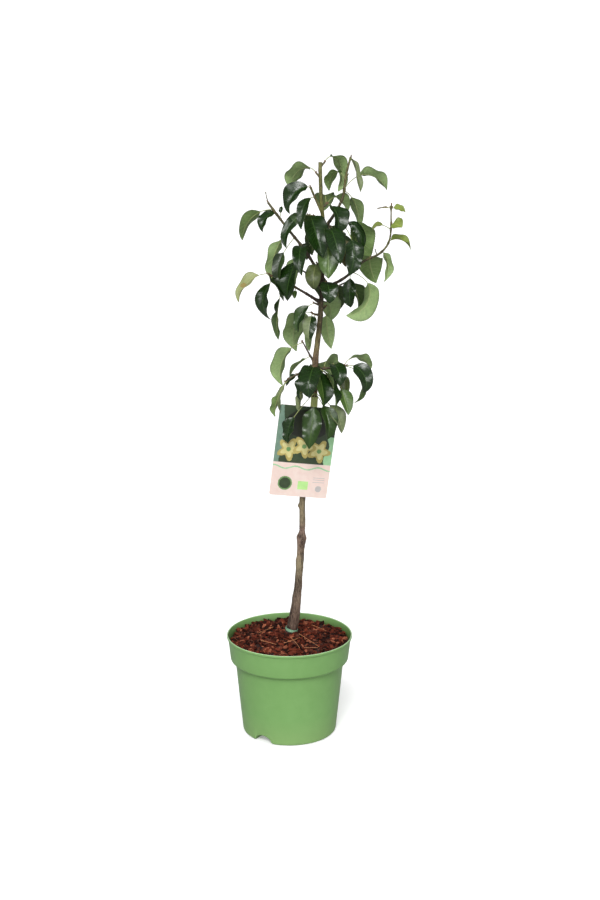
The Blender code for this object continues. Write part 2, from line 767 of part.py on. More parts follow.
make_pot(tree, helpers, green_plastic)
make_soil(tree, bark_mulch)
solids = [
    make_trunk(tree, helpers, pear_bark),
    make_tape(tree, mint_tape),
    make_loop(tree, yellow_green_loop),
    make_card(tree, printed_card),
]
skins = [skin_of(solid) for solid in solids]
clearance = guide(trunk_tube("trunk_clearance", GAP, helpers))
section = make_twig_section(helpers)

for seed, (name, limb) in enumerate(LIMBS.items()):
    points, bare = limb_points(limb)
    if bare:
        skins.append(skin_of(make_bough(name, points, bare, tree, clearance, pear_bark)))
    mass = make_mass(name, seed, points, bare, section, skins, tree, leaf_parts, clearance, pear_leaf)
    skins.append(skin_of(mass))
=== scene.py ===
"""A young pear tree in a green nursery pot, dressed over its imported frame. Metres, +Z up.

The file follows the tree as it is put together: pot, soil and mulch, stem, tape, label, limbs and leaves.
"""

import math

import bmesh
import bpy
import numpy as np
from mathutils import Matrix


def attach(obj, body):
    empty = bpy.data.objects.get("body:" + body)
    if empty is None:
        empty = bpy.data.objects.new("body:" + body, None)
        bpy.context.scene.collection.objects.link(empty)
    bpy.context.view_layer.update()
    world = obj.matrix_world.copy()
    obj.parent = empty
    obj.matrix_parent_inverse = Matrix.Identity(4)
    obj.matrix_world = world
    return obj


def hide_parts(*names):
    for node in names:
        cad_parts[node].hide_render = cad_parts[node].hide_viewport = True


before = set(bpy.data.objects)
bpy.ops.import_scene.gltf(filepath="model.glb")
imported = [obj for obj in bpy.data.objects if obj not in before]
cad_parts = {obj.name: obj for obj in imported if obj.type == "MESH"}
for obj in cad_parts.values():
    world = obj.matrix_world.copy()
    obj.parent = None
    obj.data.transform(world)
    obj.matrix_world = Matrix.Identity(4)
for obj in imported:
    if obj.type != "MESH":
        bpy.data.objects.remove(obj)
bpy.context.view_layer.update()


# Camera: 2.2 m in front of the pot and 1 m up, tilted a little down, as the photograph was taken.
CAMERA_PLACE = (0.0188, -2.2, 1.0)
CAMERA_TILT = 77.5
CAMERA_LENS = 52.16
CAMERA_SENSOR = 36

camera_data = bpy.data.cameras.new("camera")
camera_data.lens = CAMERA_LENS
camera_data.sensor_width = CAMERA_SENSOR
camera = bpy.data.objects.new("camera", camera_data)
camera.location = CAMERA_PLACE
camera.rotation_euler = (math.radians(CAMERA_TILT), 0, 0)
bpy.context.scene.collection.objects.link(camera)
bpy.context.scene.camera = camera
bpy.context.scene.view_settings.view_transform = "Standard"


# Studio: a wide white floor and sky, with one broad soft lamp high in front, a weak one low down, and
# two at the sides that only make glossy leaves shine. As lights, sky and floor are dimmer than they
# look, so that round forms keep their shape.
FLOOR_RINGS = (40, 4, 1, 0.3, 0)
FLOOR_DROP = 0.0004
# Grey of the floor as a light, then its two whites and its glow in view
FLOOR_LIGHT = 0.4
FLOOR_WHITES = (0.93, 0.95)
FLOOR_GLOW = 0.25
# Strength of the sky in view, in gloss, and as a light at the horizon and overhead
SKY_SEEN = 1.2
SKY_SHINE = 0.22
SKY_LOW = 0.1
SKY_HIGH = 0.9
# Lamps: name, power, width of its disc, angles it is turned by, whether it lights matt surfaces
LAMPS = (
    ("lamp_high", 2.0, 20, (45, 0, -8), True),
    ("lamp_low", 0.75, 24, (74, 0, 6), True),
    ("sheen_left", 1.5, 22, (66, 0, -52), False),
    ("sheen_right", 1.3, 18, (70, 0, 56), False),
)


def plain(red, green, blue):
    """A paint colour given as 0 to 255 per channel, as the linear light that a shader works in."""
    value = np.array((red, green, blue)) / 255
    return (*np.where(value < 0.04045, value / 12.92, ((value + 0.055) / 1.055) ** 2.4), 1)


def add_node(tree, kind, inputs, **settings):
    """One shader node. An input is given by name or number, as a value or as the socket that feeds it."""
    made = tree.nodes.new(kind)
    for name, value in settings.items():
        setattr(made, name, value)
    for name, value in inputs.items():
        if isinstance(value, bpy.types.NodeSocket):
            tree.links.new(value, made.inputs[name])
        else:
            made.inputs[name].default_value = value
    return made


def blend(tree, share, first, second):
    """A colour that passes from the first to the second as the share goes from 0 to 1."""
    return add_node(tree, "ShaderNodeMix", {0: share, 6: first, 7: second}, data_type="RGBA").outputs[2]


def fade(tree, value, start, end, low, high, kind="LINEAR"):
    """Passes from low to high as a value goes from start to end, and stays there beyond them."""
    span = {"Value": value, "From Min": start, "From Max": end, "To Min": low, "To Max": high}
    return add_node(tree, "ShaderNodeMapRange", span, interpolation_type=kind).outputs[0]


def round_angles(count):
    """That many even directions round a circle."""
    return 2 * np.pi * np.arange(count) / count


def around(angle):
    """The level unit vectors at an array of angles."""
    return np.stack([np.cos(angle), np.sin(angle), 0 * angle], -1)


def add_piece(name, shapes, finishes, sharp_from=40):
    """Joins shapes into one closed mesh. A shape is (grid, finish numbers, map).

    A grid holds rows of points, and its columns close round on themselves: each point makes a quad with
    the next in its row and their two neighbours in the next row. A row whose points are all one point
    closes an end. Finish numbers are one for all the shape's faces or one for each, and the map gives
    each point its place across and along.
    """
    points, faces, looks, places = [], [], [], []
    first = 0
    for grid, look, place in shapes:
        rows, columns = grid.shape[:2]
        row, column = np.mgrid[: rows - 1, :columns]
        beside = (column + 1) % columns
        here, ahead = first + row * columns, first + (row + 1) * columns
        quads = np.stack([here + column, here + beside, ahead + beside, ahead + column], -1)
        points.append(grid.reshape(-1, 3))
        faces.append(quads.reshape(-1, 4))
        looks.append(np.broadcast_to(look, (rows - 1, columns)).ravel())
        places.append(np.broadcast_to(place, (rows, columns, 2)).reshape(-1, 2))
        first += rows * columns
    faces = np.concatenate(faces)
    mesh = bpy.data.meshes.new(name)
    mesh.from_pydata(np.concatenate(points).tolist(), [], faces.tolist())
    mesh.polygons.foreach_set("material_index", np.concatenate(looks).astype(np.int32))
    layer = mesh.uv_layers.new(name="shape")
    layer.uv.foreach_set("vector", np.concatenate(places)[faces.ravel()].astype(np.float32).ravel())
    for finish in finishes:
        mesh.materials.append(finish)
    body = bmesh.new()
    body.from_mesh(mesh)
    bmesh.ops.remove_doubles(body, verts=body.verts, dist=1e-7)
    body.to_mesh(mesh)
    body.free()
    mesh.shade_smooth()
    mesh.set_sharp_from_angle(angle=math.radians(sharp_from))
    piece = bpy.data.objects.new(name, mesh)
    bpy.context.scene.collection.objects.link(piece)
    return piece


def new_finish(name, roughness, **values):
    """A material with its shader's even values set on the shader itself."""
    made = bpy.data.materials.new(name)
    made.use_nodes = True
    shader = made.node_tree.nodes["Principled BSDF"]
    shader.inputs["Roughness"].default_value = roughness
    for key, value in values.items():
        shader.inputs[key.replace("_", " ")].default_value = value
    return made, made.node_tree, shader


def dress(tree, shader, color, height, depth):
    """Gives a shader its colour, and a relief of that depth in metres."""
    relief = add_node(tree, "ShaderNodeBump", {"Height": height, "Distance": depth})
    tree.links.new(color, shader.inputs["Base Color"])
    tree.links.new(relief.outputs[0], shader.inputs["Normal"])


def fine_grain_group():
    """Two layers of noise on the object's own place, as a mask from 0 to 1 and as a height.

    The broad layer has a sixth of the scale of the fine one. Stretch below 1 draws both out upwards.
    """
    group = bpy.data.node_groups.new("fine_grain", "ShaderNodeTree")
    for name, usual in (("Scale", 300), ("Stretch", 1)):
        socket = group.interface.new_socket(name, in_out="INPUT", socket_type="NodeSocketFloat")
        socket.default_value = usual
    for name in ("Mask", "Height"):
        group.interface.new_socket(name, in_out="OUTPUT", socket_type="NodeSocketFloat")
    given = group.nodes.new("NodeGroupInput").outputs
    place = add_node(group, "ShaderNodeTexCoord", {}).outputs["Object"]
    drawn = add_node(group, "ShaderNodeCombineXYZ", {"X": 1, "Y": 1, "Z": given["Stretch"]}).outputs[0]
    place = add_node(group, "ShaderNodeVectorMath", {0: place, 1: drawn}, operation="MULTIPLY").outputs[0]
    sixth = add_node(group, "ShaderNodeMath", {0: given["Scale"], 1: 6}, operation="DIVIDE").outputs[0]
    fine = add_node(group, "ShaderNodeTexNoise", {"Vector": place, "Scale": given["Scale"], "Detail": 4})
    broad = add_node(group, "ShaderNodeTexNoise", {"Vector": place, "Scale": sixth, "Detail": 3})
    layers = {0: fine.outputs["Fac"], 1: broad.outputs["Fac"]}
    both = add_node(group, "ShaderNodeMath", layers, operation="ADD").outputs[0]
    ends = group.nodes.new("NodeGroupOutput").inputs
    group.links.new(fade(group, both, 0.75, 1.25, 0, 1), ends["Mask"])
    group.links.new(both, ends["Height"])
    return group


def grain_in(tree, scale, stretch=1.0):
    """The mask and height of the fine grain in a finish, at that scale."""
    settings = {"Scale": scale, "Stretch": stretch}
    return add_node(tree, "ShaderNodeGroup", settings, node_tree=fine_grain).outputs


def grained(name, dark, light, roughness, scale, bump, stretch=1.0, **values):
    """A finish mottled between two paint colours, with a relief of that depth in metres."""
    made, tree, shader = new_finish(name, roughness, **values)
    grain = grain_in(tree, scale, stretch)
    dress(tree, shader, blend(tree, grain["Mask"], plain(*dark), plain(*light)), grain["Height"], bump)
    return made


fine_grain = fine_grain_group()
floor_grid = np.array(FLOOR_RINGS)[:, None, None] * around(round_angles(96)) - (0, 0, FLOOR_DROP)
floor_finish, floor_tree, floor_shader = new_finish("studio_floor", 0.8, Emission_Color=(1, 1, 1, 1))
floor_cloud = add_node(floor_tree, "ShaderNodeTexNoise", {"Scale": 4}).outputs["Fac"]
floor_seen = add_node(floor_tree, "ShaderNodeLightPath", {}).outputs["Is Camera Ray"]
floor_white = blend(floor_tree, floor_cloud, *[(white, white, white, 1) for white in FLOOR_WHITES])
floor_color = blend(floor_tree, floor_seen, (FLOOR_LIGHT, FLOOR_LIGHT, FLOOR_LIGHT, 1), floor_white)
floor_glow = fade(floor_tree, floor_seen, 0, 1, 0, FLOOR_GLOW)
floor_tree.links.new(floor_color, floor_shader.inputs["Base Color"])
floor_tree.links.new(floor_glow, floor_shader.inputs["Emission Strength"])
add_piece("studio_floor", [(floor_grid, 0, (0, 0))], [floor_finish])

world = bpy.data.worlds.new("studio_sky")
world.use_nodes = True
sky_tree = world.node_tree
sky_tree.nodes.clear()
seen = add_node(sky_tree, "ShaderNodeBackground", {"Color": (1, 1, 1, 1), "Strength": SKY_SEEN})
way = add_node(sky_tree, "ShaderNodeTexCoord", {}).outputs["Generated"]
steep = add_node(sky_tree, "ShaderNodeSeparateXYZ", {0: way}).outputs["Z"]
glow = fade(sky_tree, steep, 0, 1, SKY_LOW, SKY_HIGH)
rays = add_node(sky_tree, "ShaderNodeLightPath", {}).outputs
shares = {0: rays["Is Glossy Ray"], 2: glow, 3: SKY_SHINE}
shine = add_node(sky_tree, "ShaderNodeMix", shares, data_type="FLOAT").outputs[0]
lit = add_node(sky_tree, "ShaderNodeBackground", {"Color": (1, 1, 1, 1), "Strength": shine})
parts = {0: rays["Is Camera Ray"], 1: lit.outputs[0], 2: seen.outputs[0]}
sky = add_node(sky_tree, "ShaderNodeMixShader", parts)
add_node(sky_tree, "ShaderNodeOutputWorld", {"Surface": sky.outputs[0]})
bpy.context.scene.world = world

for name, power, spread, turned, on_matt in LAMPS:
    lamp_data = bpy.data.lights.new(name, "SUN")
    lamp_data.energy = power
    lamp_data.angle = math.radians(spread)
    lamp = bpy.data.objects.new(name, lamp_data)
    lamp.visible_diffuse = on_matt
    lamp.rotation_euler = [math.radians(angle) for angle in turned]
    bpy.context.scene.collection.objects.link(lamp)


# Pot: thin-walled green nursery pot, moulded in satin plastic, with a rolled lip, a deep collar over a
# soft step, a tapering wall and two arched drain notches in its foot.
NOTCH_HEIGHT = 0.012
NOTCH_WIDTH = 0.034
NOTCH_DEPTH = 0.028
NOTCH_END = 0.0015
NOTCH_HEADINGS = (-124, 56)
NOTCH_FADE = 0.034
FOOT_RADIUS = 0.0835
# Corners of the outer side from the foot up and of the inner side down: radius, height, rounding
POT_WALL = (
    (0.0780, 0.0, 0),
    (0.0835, 0.0, 0.0035),
    (0.0844, 0.009, 0),
    (0.0853, 0.018, 0),
    (0.0864, 0.028, 0),
    (0.0875, 0.038, 0),
    (0.0920, 0.084, 0),
    (0.0964, 0.1290, 0.0016),
    (0.1049, 0.1334, 0.0024),
    (0.1084, 0.1640, 0.0040),
    (0.1098, 0.1722, 0.0012),
    (0.1114, 0.1733, 0.0009),
    (0.1115, 0.1774, 0.0012),
    (0.1094, 0.1774, 0.0010),
    (0.1086, 0.1722, 0.0020),
    (0.1066, 0.1640, 0.0040),
    (0.1033, 0.1352, 0.0020),
    (0.0948, 0.1306, 0.0020),
    (0.0838, 0.018, 0.0020),
)
POT_BASE_ROWS = (0, 0.02, 0.04, 0.05, 0.0535, 0.055, 0.0565, 0.059, 0.064, 0.07, 0.075)
POT_FLOOR_ROWS = (0.074, 0.066, 0.059, 0.0555, 0.053, 0.04, 0)
POT_FLOOR_HEIGHT = 0.016
# Heights between which the paler foot and the painted shade inside fade, and the painted highlight on the lip
# sets in
FOOT_PALE_FADE = (0.0, 0.05)
INNER_SHADE_FADE = (0.164, 0.1775)
LIP_HIGHLIGHT_RISE = (0.1764, 0.1773)
# How far the paler foot, the painted highlight on the lip and the painted shade inside cover
FOOT_PALE_COVER = 0.7
LIP_HIGHLIGHT_COVER = 0.7
INNER_SHADE_COVER = 0.8
POT_GREENS = (plain(121, 166, 97), plain(126, 171, 102))
# Paler green towards the foot
POT_FOOT_PALE = plain(140, 175, 110)
# Painted shade for the inner wall near the mulch
POT_INNER_SHADE = plain(70, 88, 44)
# Painted highlight along the lip's rounded top
POT_LIP_HIGHLIGHT = plain(186, 214, 172)


def rounded(corners, steps=7):
    """A line through corners. Each is eased by the arc (1-t)² start + 2t(1-t) corner + t² end."""
    spot, ease = np.array(corners)[:, :2], np.array(corners)[:, 2:]
    leg = np.diff(spot, axis=0)
    leg /= np.linalg.norm(leg, axis=1, keepdims=True)
    start = spot - ease * np.concatenate([leg[:1], leg])
    end = spot + ease * np.concatenate([leg, leg[-1:]])
    t = np.linspace(0, 1, steps)[:, None]
    arcs = [
        (1 - t) ** 2 * a + 2 * t * (1 - t) * b + t**2 * c if soft else b[None]
        for a, b, c, soft in zip(start, spot, end, ease[:, 0] > 0)
    ]
    return np.concatenate(arcs)


def notch_angles():
    """Directions round the pot, close together where the ends of a notch's arch rise steeply."""
    swing = np.arcsin(NOTCH_WIDTH / 2 / FOOT_RADIUS * np.cos(np.linspace(np.pi, 0, 33)))
    parts = []
    for heading in np.radians(NOTCH_HEADINGS):
        parts += [heading + swing, np.linspace(heading + swing[-1], heading + np.pi + swing[0], 76)[1:-1]]
    return np.concatenate(parts)


def pot_surface(profile, angles):
    """The profile swept round the pot, its foot lifted over each drain notch.

    The lift is notch height * sqrt(1 - (sideways / half width)²). It fades out with height above the
    floor and at the notch's inner end.
    """
    radius, height = profile[:, :1], profile[:, 1:]
    lift = 0 * radius * angles
    for heading in np.radians(NOTCH_HEADINGS):
        sideways, ahead = radius * np.sin(angles - heading), radius * np.cos(angles - heading)
        arch = NOTCH_HEIGHT * np.sqrt(np.clip(1 - (sideways / (NOTCH_WIDTH / 2)) ** 2, 0, 1))
        lift += arch * np.clip((ahead - FOOT_RADIUS + NOTCH_DEPTH) / NOTCH_END, 0, 1)
    height = height + lift * np.clip(1 - height / NOTCH_FADE, 0, 1)
    return radius[..., None] * around(angles) + height[..., None] * (0, 0, 1)


def pot_plastic(name, inner_shade):
    """Satin green plastic: faint clouding, a painted highlight on the lip, paler near its foot, painted shade
    near the mulch.
    """
    made, tree, shader = new_finish(name, 0.38, Specular_IOR_Level=0.35)
    grain = grain_in(tree, 60)
    place = add_node(tree, "ShaderNodeTexCoord", {}).outputs["Object"]
    height = add_node(tree, "ShaderNodeSeparateXYZ", {0: place}).outputs["Z"]
    color = blend(tree, grain["Mask"], *POT_GREENS)
    # The wall is paler towards the foot
    color = blend(tree, fade(tree, height, *FOOT_PALE_FADE, FOOT_PALE_COVER, 0), color, POT_FOOT_PALE)
    # Painted shade: the inner wall darkens down towards the mulch
    color = blend(tree, fade(tree, height, *INNER_SHADE_FADE, inner_shade, 0), color, POT_INNER_SHADE)
    # Painted highlight: the top of the lip is painted pale
    color = blend(tree, fade(tree, height, *LIP_HIGHLIGHT_RISE, 0, LIP_HIGHLIGHT_COVER), color, POT_LIP_HIGHLIGHT)
    specks = add_node(tree, "ShaderNodeTexNoise", {"Vector": place, "Scale": 900, "Detail": 2}).outputs["Fac"]
    dress(tree, shader, color, specks, 0.00003)
    return made


pot_profile = np.concatenate([
    [(radius, 0) for radius in POT_BASE_ROWS],
    rounded(POT_WALL),
    [(radius, POT_FLOOR_HEIGHT) for radius in POT_FLOOR_ROWS],
])
pot_grid = pot_surface(pot_profile, notch_angles())
inner_wall = np.arange(len(pot_profile) - 1) > pot_profile[:, 1].argmax()
pot_looks = np.repeat(inner_wall[:, None].astype(int), pot_grid.shape[1], 1)
# The second finish, for the inner wall, carries the painted shade
pot_finishes = [pot_plastic("satin_green_plastic", 0), pot_plastic("inner_shaded_plastic", INNER_SHADE_COVER)]
pot = add_piece("pot_shell", [(pot_grid, pot_looks, (0, 0))], pot_finishes, 35)
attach(pot, "root")
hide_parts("pot")


# Soil: a bed of dark, damp compost that fills the pot to just under its lip, pressed down by hand and
# lumpy where the mulch lies on it.
SOIL_SIDE = ((0.0, 0.150), (0.1032, 0.150), (0.1052, 0.1620))
SOIL_EDGE_RADIUS = 0.1052
SOIL_EDGE_HEIGHT = 0.1635
SOIL_TOP = 0.165
SOIL_SLOPE = 0.25
SOIL_LUMP = 0.0016
SOIL_LUMP_SIZES = (0.007, 0.003)


def soft_noise(at, size, seed):
    """Smooth noise from -1 to 1 at an array of points.

    Random numbers stand on a cubic lattice of that size, and are blended with 3t² - 2t³ on each axis.
    """
    cell = np.asarray(at) / size
    low = np.floor(cell).astype(int)
    t = cell - low
    t = t * t * (3 - 2 * t)
    lattice = np.random.default_rng(seed).uniform(-1, 1, (64, 64, 64))
    total = np.zeros(cell.shape[:-1])
    for corner in np.ndindex(2, 2, 2):
        spot = (low + corner) % 64
        share = np.where(np.array(corner) == 1, t, 1 - t).prod(-1)
        total += share * lattice[spot[..., 0], spot[..., 1], spot[..., 2]]
    return total


def soil_surface(angles):
    """The bed from the middle of its underside, round its rim and back to the middle of its top."""
    share = np.linspace(1, 0, 50)
    radius = np.concatenate([[r for r, _ in SOIL_SIDE], SOIL_EDGE_RADIUS * share])[:, None]
    level = SOIL_EDGE_HEIGHT + (SOIL_TOP - SOIL_EDGE_HEIGHT) * np.clip((1 - share) / SOIL_SLOPE, 0, 1)
    height = np.concatenate([[h for _, h in SOIL_SIDE], level])[:, None]
    grid = radius[..., None] * around(angles) + height[..., None] * (0, 0, 1)
    coarse, fine = SOIL_LUMP_SIZES
    lumps = soft_noise(grid, coarse, 3) + 0.6 * soft_noise(grid, fine, 4)
    grid[len(SOIL_SIDE):, :, 2] += SOIL_LUMP * lumps[len(SOIL_SIDE):]
    grid[-1, :, 2] = SOIL_TOP
    return grid


soil_finish = grained("damp_soil", (20, 7, 3), (48, 20, 12), roughness=0.9, scale=500, bump=0.0008)
soil = add_piece("soil_bed", [(soil_surface(round_angles(140)), 0, (0, 0))], [soil_finish], 60)
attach(soil, "root")
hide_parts("soil_and_bark")


# Mulch: loose red-brown bark chips 6 to 18 mm long, scattered over the bed in a few layers and heaped a
# little in front of the stem, with a handful of dry orange straws lying on them.
CHIPS = 1500
CHIP_SIDES = 6
# A chip's rings from below: share of its size, share of its thickness
CHIP_RINGS = ((0, 1, 0.78, 0), (-1, -0.8, 0.8, 1))
CHIP_HALF_LENGTH = (0.0028, 0.0090)
CHIP_SLENDER = (0.25, 0.65)
CHIP_HALF_THICK = (0.0006, 0.0018)
CHIP_TILT = 0.42
CHIP_LIFT = (-0.0005, 0.0044)
MULCH_RADIUS = 0.1035
MULCH_LIMIT = 0.1052
HEAPED_AT = (0.002, 0.014)
HEAP_HEIGHT = 0.0035
HEAP_REACH = 0.02
CHIP_COLORS = (
    ((26, 7, 2), (48, 15, 7)),
    ((56, 19, 9), (88, 34, 18)),
    ((84, 32, 18), (118, 54, 34)),
    ((116, 58, 38), (170, 104, 76)),
    ((66, 34, 24), (100, 60, 46)),
)
CHIP_SHARES = (0.26, 0.28, 0.24, 0.12, 0.10)
# Straws: start and end to the right and back, height at each end
STRAWS = (
    ((-0.010, -0.033, 0.1715), (0.018, -0.010, 0.1730)),
    ((0.002, -0.008, 0.1730), (0.0185, -0.058, 0.1715)),
    ((0.017, 0.008, 0.1735), (0.052, -0.052, 0.1720)),
    ((0.0185, -0.058, 0.1720), (0.0505, -0.055, 0.1715)),
    ((-0.050, -0.020, 0.1715), (-0.023, -0.040, 0.1715)),
    ((-0.030, 0.050, 0.1710), (-0.055, 0.020, 0.1710)),
    ((0.040, 0.060, 0.1710), (0.066, 0.030, 0.1710)),
)
STRAW_RADIUS = 0.0005
STRAW_BOW = 0.0012


def turned_by(yaw, pitch, roll):
    """Rotation matrices that roll about X, then pitch about Y, then yaw about Z."""
    def about(angle, first, second):
        turn = np.tile(np.eye(3), (len(angle), 1, 1))
        turn[:, first, first] = turn[:, second, second] = np.cos(angle)
        turn[:, second, first] = np.sin(angle)
        turn[:, first, second] = -np.sin(angle)
        return turn

    return about(yaw, 0, 1) @ about(pitch, 2, 0) @ about(roll, 1, 2)


def bark_chips(rng):
    """Flat flakes: two uneven six-sided rings, the upper one smaller, closed by a point below and above."""
    angle = round_angles(CHIP_SIDES)
    long = rng.uniform(*CHIP_HALF_LENGTH, (CHIPS, 1, 1))
    wide = long * rng.uniform(*CHIP_SLENDER, (CHIPS, 1, 1))
    thick = rng.uniform(*CHIP_HALF_THICK, (CHIPS, 1, 1))
    ring, level = np.array(CHIP_RINGS)[..., None]
    ring = ring * rng.uniform(0.7, 1.2, (CHIPS, 4, CHIP_SIDES))
    level = level * rng.uniform(0.8, 1.2, (CHIPS, 4, 1))
    level = np.broadcast_to(level, ring.shape).copy()
    level[:, 1:3] *= rng.uniform(0.6, 1.3, (CHIPS, 2, CHIP_SIDES))
    flake = np.stack([long * ring * np.cos(angle), wide * ring * np.sin(angle), thick * level], -1)
    yaw = rng.uniform(0, 2 * np.pi, CHIPS)
    pitch, roll = rng.normal(0, CHIP_TILT, CHIPS), rng.normal(0, CHIP_TILT, CHIPS)
    flake = np.einsum("nij,nabj->nabi", turned_by(yaw, pitch, roll), flake)
    radius = MULCH_RADIUS * np.sqrt(rng.uniform(0, 1, CHIPS))
    way = rng.uniform(0, 2 * np.pi, CHIPS)
    height = SOIL_TOP + rng.uniform(*CHIP_LIFT, CHIPS)
    middle = np.stack([radius * np.cos(way), radius * np.sin(way), height], -1)
    from_heap = np.linalg.norm(middle[:, :2] - HEAPED_AT, axis=1)
    middle[:, 2] += HEAP_HEIGHT * np.exp(-(from_heap / HEAP_REACH) ** 2)
    reach = np.linalg.norm((flake + middle[:, None, None])[..., :2], axis=-1).max((1, 2))
    middle[:, :2] *= 1 - np.maximum(0, reach - MULCH_LIMIT)[:, None] / radius[:, None]
    return flake + middle[:, None, None]


def tube(line, radii, sides, level):
    """A round stem along a line of points, closed at both ends.

    Around each point stands a ring of that radius, square to the line: cos(angle) across + sin(angle) up.
    """
    along = np.gradient(line, axis=0)
    along /= np.linalg.norm(along, axis=1, keepdims=True)
    across = level - along * (along @ np.asarray(level, float))[:, None]
    across /= np.linalg.norm(across, axis=1, keepdims=True)
    up = np.cross(along, across)
    angle = round_angles(sides)[:, None]
    ring = np.cos(angle) * across[:, None] + np.sin(angle) * up[:, None]
    body = line[:, None] + np.asarray(radii)[:, None, None] * ring
    ends = np.broadcast_to(line[[0, -1]][:, None], (2, sides, 3))
    return np.concatenate([ends[:1], body, ends[1:]])


mulch_draw = np.random.default_rng(21)
chips = bark_chips(mulch_draw)
chip_looks = mulch_draw.choice(len(CHIP_COLORS), CHIPS, p=CHIP_SHARES)
chip_finishes = [
    grained(f"bark_chip_{number}", *colors, roughness=0.9, scale=700, bump=0.0005, Specular_IOR_Level=0.15)
    for number, colors in enumerate(CHIP_COLORS)
]
chip_shapes = [(chip, look, (0, 0)) for chip, look in zip(chips, chip_looks)]
mulch = add_piece("bark_chips", chip_shapes, chip_finishes, 25)
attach(mulch, "root")

straw_shapes = []
for start, end in STRAWS:
    share = np.linspace(0, 1, 13)[:, None]
    line = np.array(start) * (1 - share) + np.array(end) * share
    line = line + STRAW_BOW * np.sin(np.pi * share) * mulch_draw.normal(0, 1, 3) * (1, 1, 0.4)
    straw_shapes.append((tube(line, STRAW_RADIUS * (1.1 - 0.3 * share[:, 0]), 6, (0, 0, 1)), 0, (0, 0)))
straw_finish = grained(
    "dry_straw", (150, 90, 50), (206, 142, 96), roughness=0.6, scale=900, bump=0.0002, stretch=0.2
)
straws = add_piece("dry_straws", straw_shapes, [straw_finish], 60)
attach(straws, "root")


# Stem: a young grafted pear trunk that leans to the right, grey-brown at its flared foot, smoother and
# olive where the sun reaches it, and a thin cane above, cut off flat at the top.
TRUNK = (
    (0.155, -0.002, 0.0130),
    (0.1653, 0.001, 0.0120),
    (0.172, 0.003, 0.0107),
    (0.181, 0.0055, 0.0103),
    (0.200, 0.0085, 0.0095),
    (0.222, 0.0118, 0.0083),
    (0.250, 0.0150, 0.0069),
    (0.286, 0.0174, 0.0064),
    (0.329, 0.0202, 0.0066),
    (0.347, 0.0212, 0.0080),
    (0.360, 0.0225, 0.0055),
    (0.385, 0.0232, 0.0053),
    (0.423, 0.0222, 0.0053),
    (0.510, 0.0325, 0.0051),
    (0.597, 0.0440, 0.0048),
    (0.650, 0.0442, 0.0048),
    (0.666, 0.0448, 0.0057),
    (0.680, 0.0460, 0.0047),
    (0.729, 0.0521, 0.0046),
    (0.764, 0.0542, 0.0043),
    (0.790, 0.0558, 0.0033),
    (0.871, 0.0577, 0.0032),
    (0.905, 0.0573, 0.0031),
    (0.941, 0.0535, 0.0032),
    (0.998, 0.0518, 0.0030),
)
TRUNK_FOOT_BACK = 0.028
TRUNK_UPRIGHT_AT = 0.73
TRUNK_EASE = 0.018
TRUNK_SIDES = 40
TRUNK_RING = 0.0014
# Depth of the bark's relief, at heights on the trunk
TRUNK_ROUGH = ((0.2, 0.3, 0.7, 0.8), (0.0007, 0.00045, 0.00026, 0.00012))
BARK_FIBRE = 0.16
BARK_STRETCH = 0.18
BARK_RIDGES = (0.0026, 0.0012)
BARK_FURROW = plain(90, 76, 68)
BARK_PORE = plain(168, 150, 118)
# Pores: how close they lie, where their edge fades, how plainly they show
PORE_SCALE = 260
PORE_EDGE = (0.12, 0.2)
PORE_COVER = 0.55
# The foot's five lobes: share they stand out by and height over which they end
FOOT_LOBES = 0.1
FOOT_LOBE_HEIGHT = 0.016
RING_SCAR_HEIGHT = 0.0008
CUT_RISE = 0.0004
CUT_SHARE = 0.82
# Knots and bud scars: height, heading, how far out, half their height in metres and width in degrees
KNOTS = (
    (0.340, -70, 0.0012, 0.005, 45),
    (0.350, -20, 0.0012, 0.004, 40),
    (0.352, 175, 0.0018, 0.005, 40),
    (0.409, 178, 0.0028, 0.004, 35),
    (0.322, -110, 0.0007, 0.004, 30),
    (0.308, 182, 0.0012, 0.004, 38),
    (0.300, 185, 0.0010, 0.005, 35),
    (0.452, -20, 0.0007, 0.004, 30),
    (0.478, 200, 0.0008, 0.005, 35),
    (0.292, 10, 0.0005, 0.006, 40),
    (0.236, 190, 0.0008, 0.009, 40),
    (0.655, -100, 0.0010, 0.006, 45),
    (0.704, 200, 0.0006, 0.004, 40),
    (0.745, 20, 0.0008, 0.004, 40),
    (0.812, -80, 0.0005, 0.003, 40),
    (0.840, 160, 0.0005, 0.003, 40),
    (0.872, 20, 0.0006, 0.003, 40),
    (0.921, 200, 0.0005, 0.003, 40),
    (0.958, 30, 0.0005, 0.003, 40),
    (0.985, 190, 0.0006, 0.004, 45),
)
# Growth rings: heights where a year's growth began, with their depth
RING_SCARS = (
    (0.336, 0.0006), (0.364, 0.0012), (0.368, 0.0007),
    (0.500, 0.0002), (0.684, 0.0003), (0.772, 0.0003),
)


def trunk_line(height):
    """The trunk's middle and radius at an array of heights.

    Both lie on straight lines between the rows of TRUNK, the middle averaged over 36 mm, and the trunk
    starts behind the pot's middle and comes forward in proportion to its height.
    """
    heights, rights, radii = np.array(TRUNK).T
    back = TRUNK_FOOT_BACK * (1 - np.minimum(1, (height - SOIL_TOP) / (TRUNK_UPRIGHT_AT - SOIL_TOP)))
    near = height[:, None] + np.linspace(-TRUNK_EASE, TRUNK_EASE, 9)
    right = np.interp(near, heights, rights).mean(-1)
    return np.stack([right, back, height], -1), np.interp(height, heights, radii)


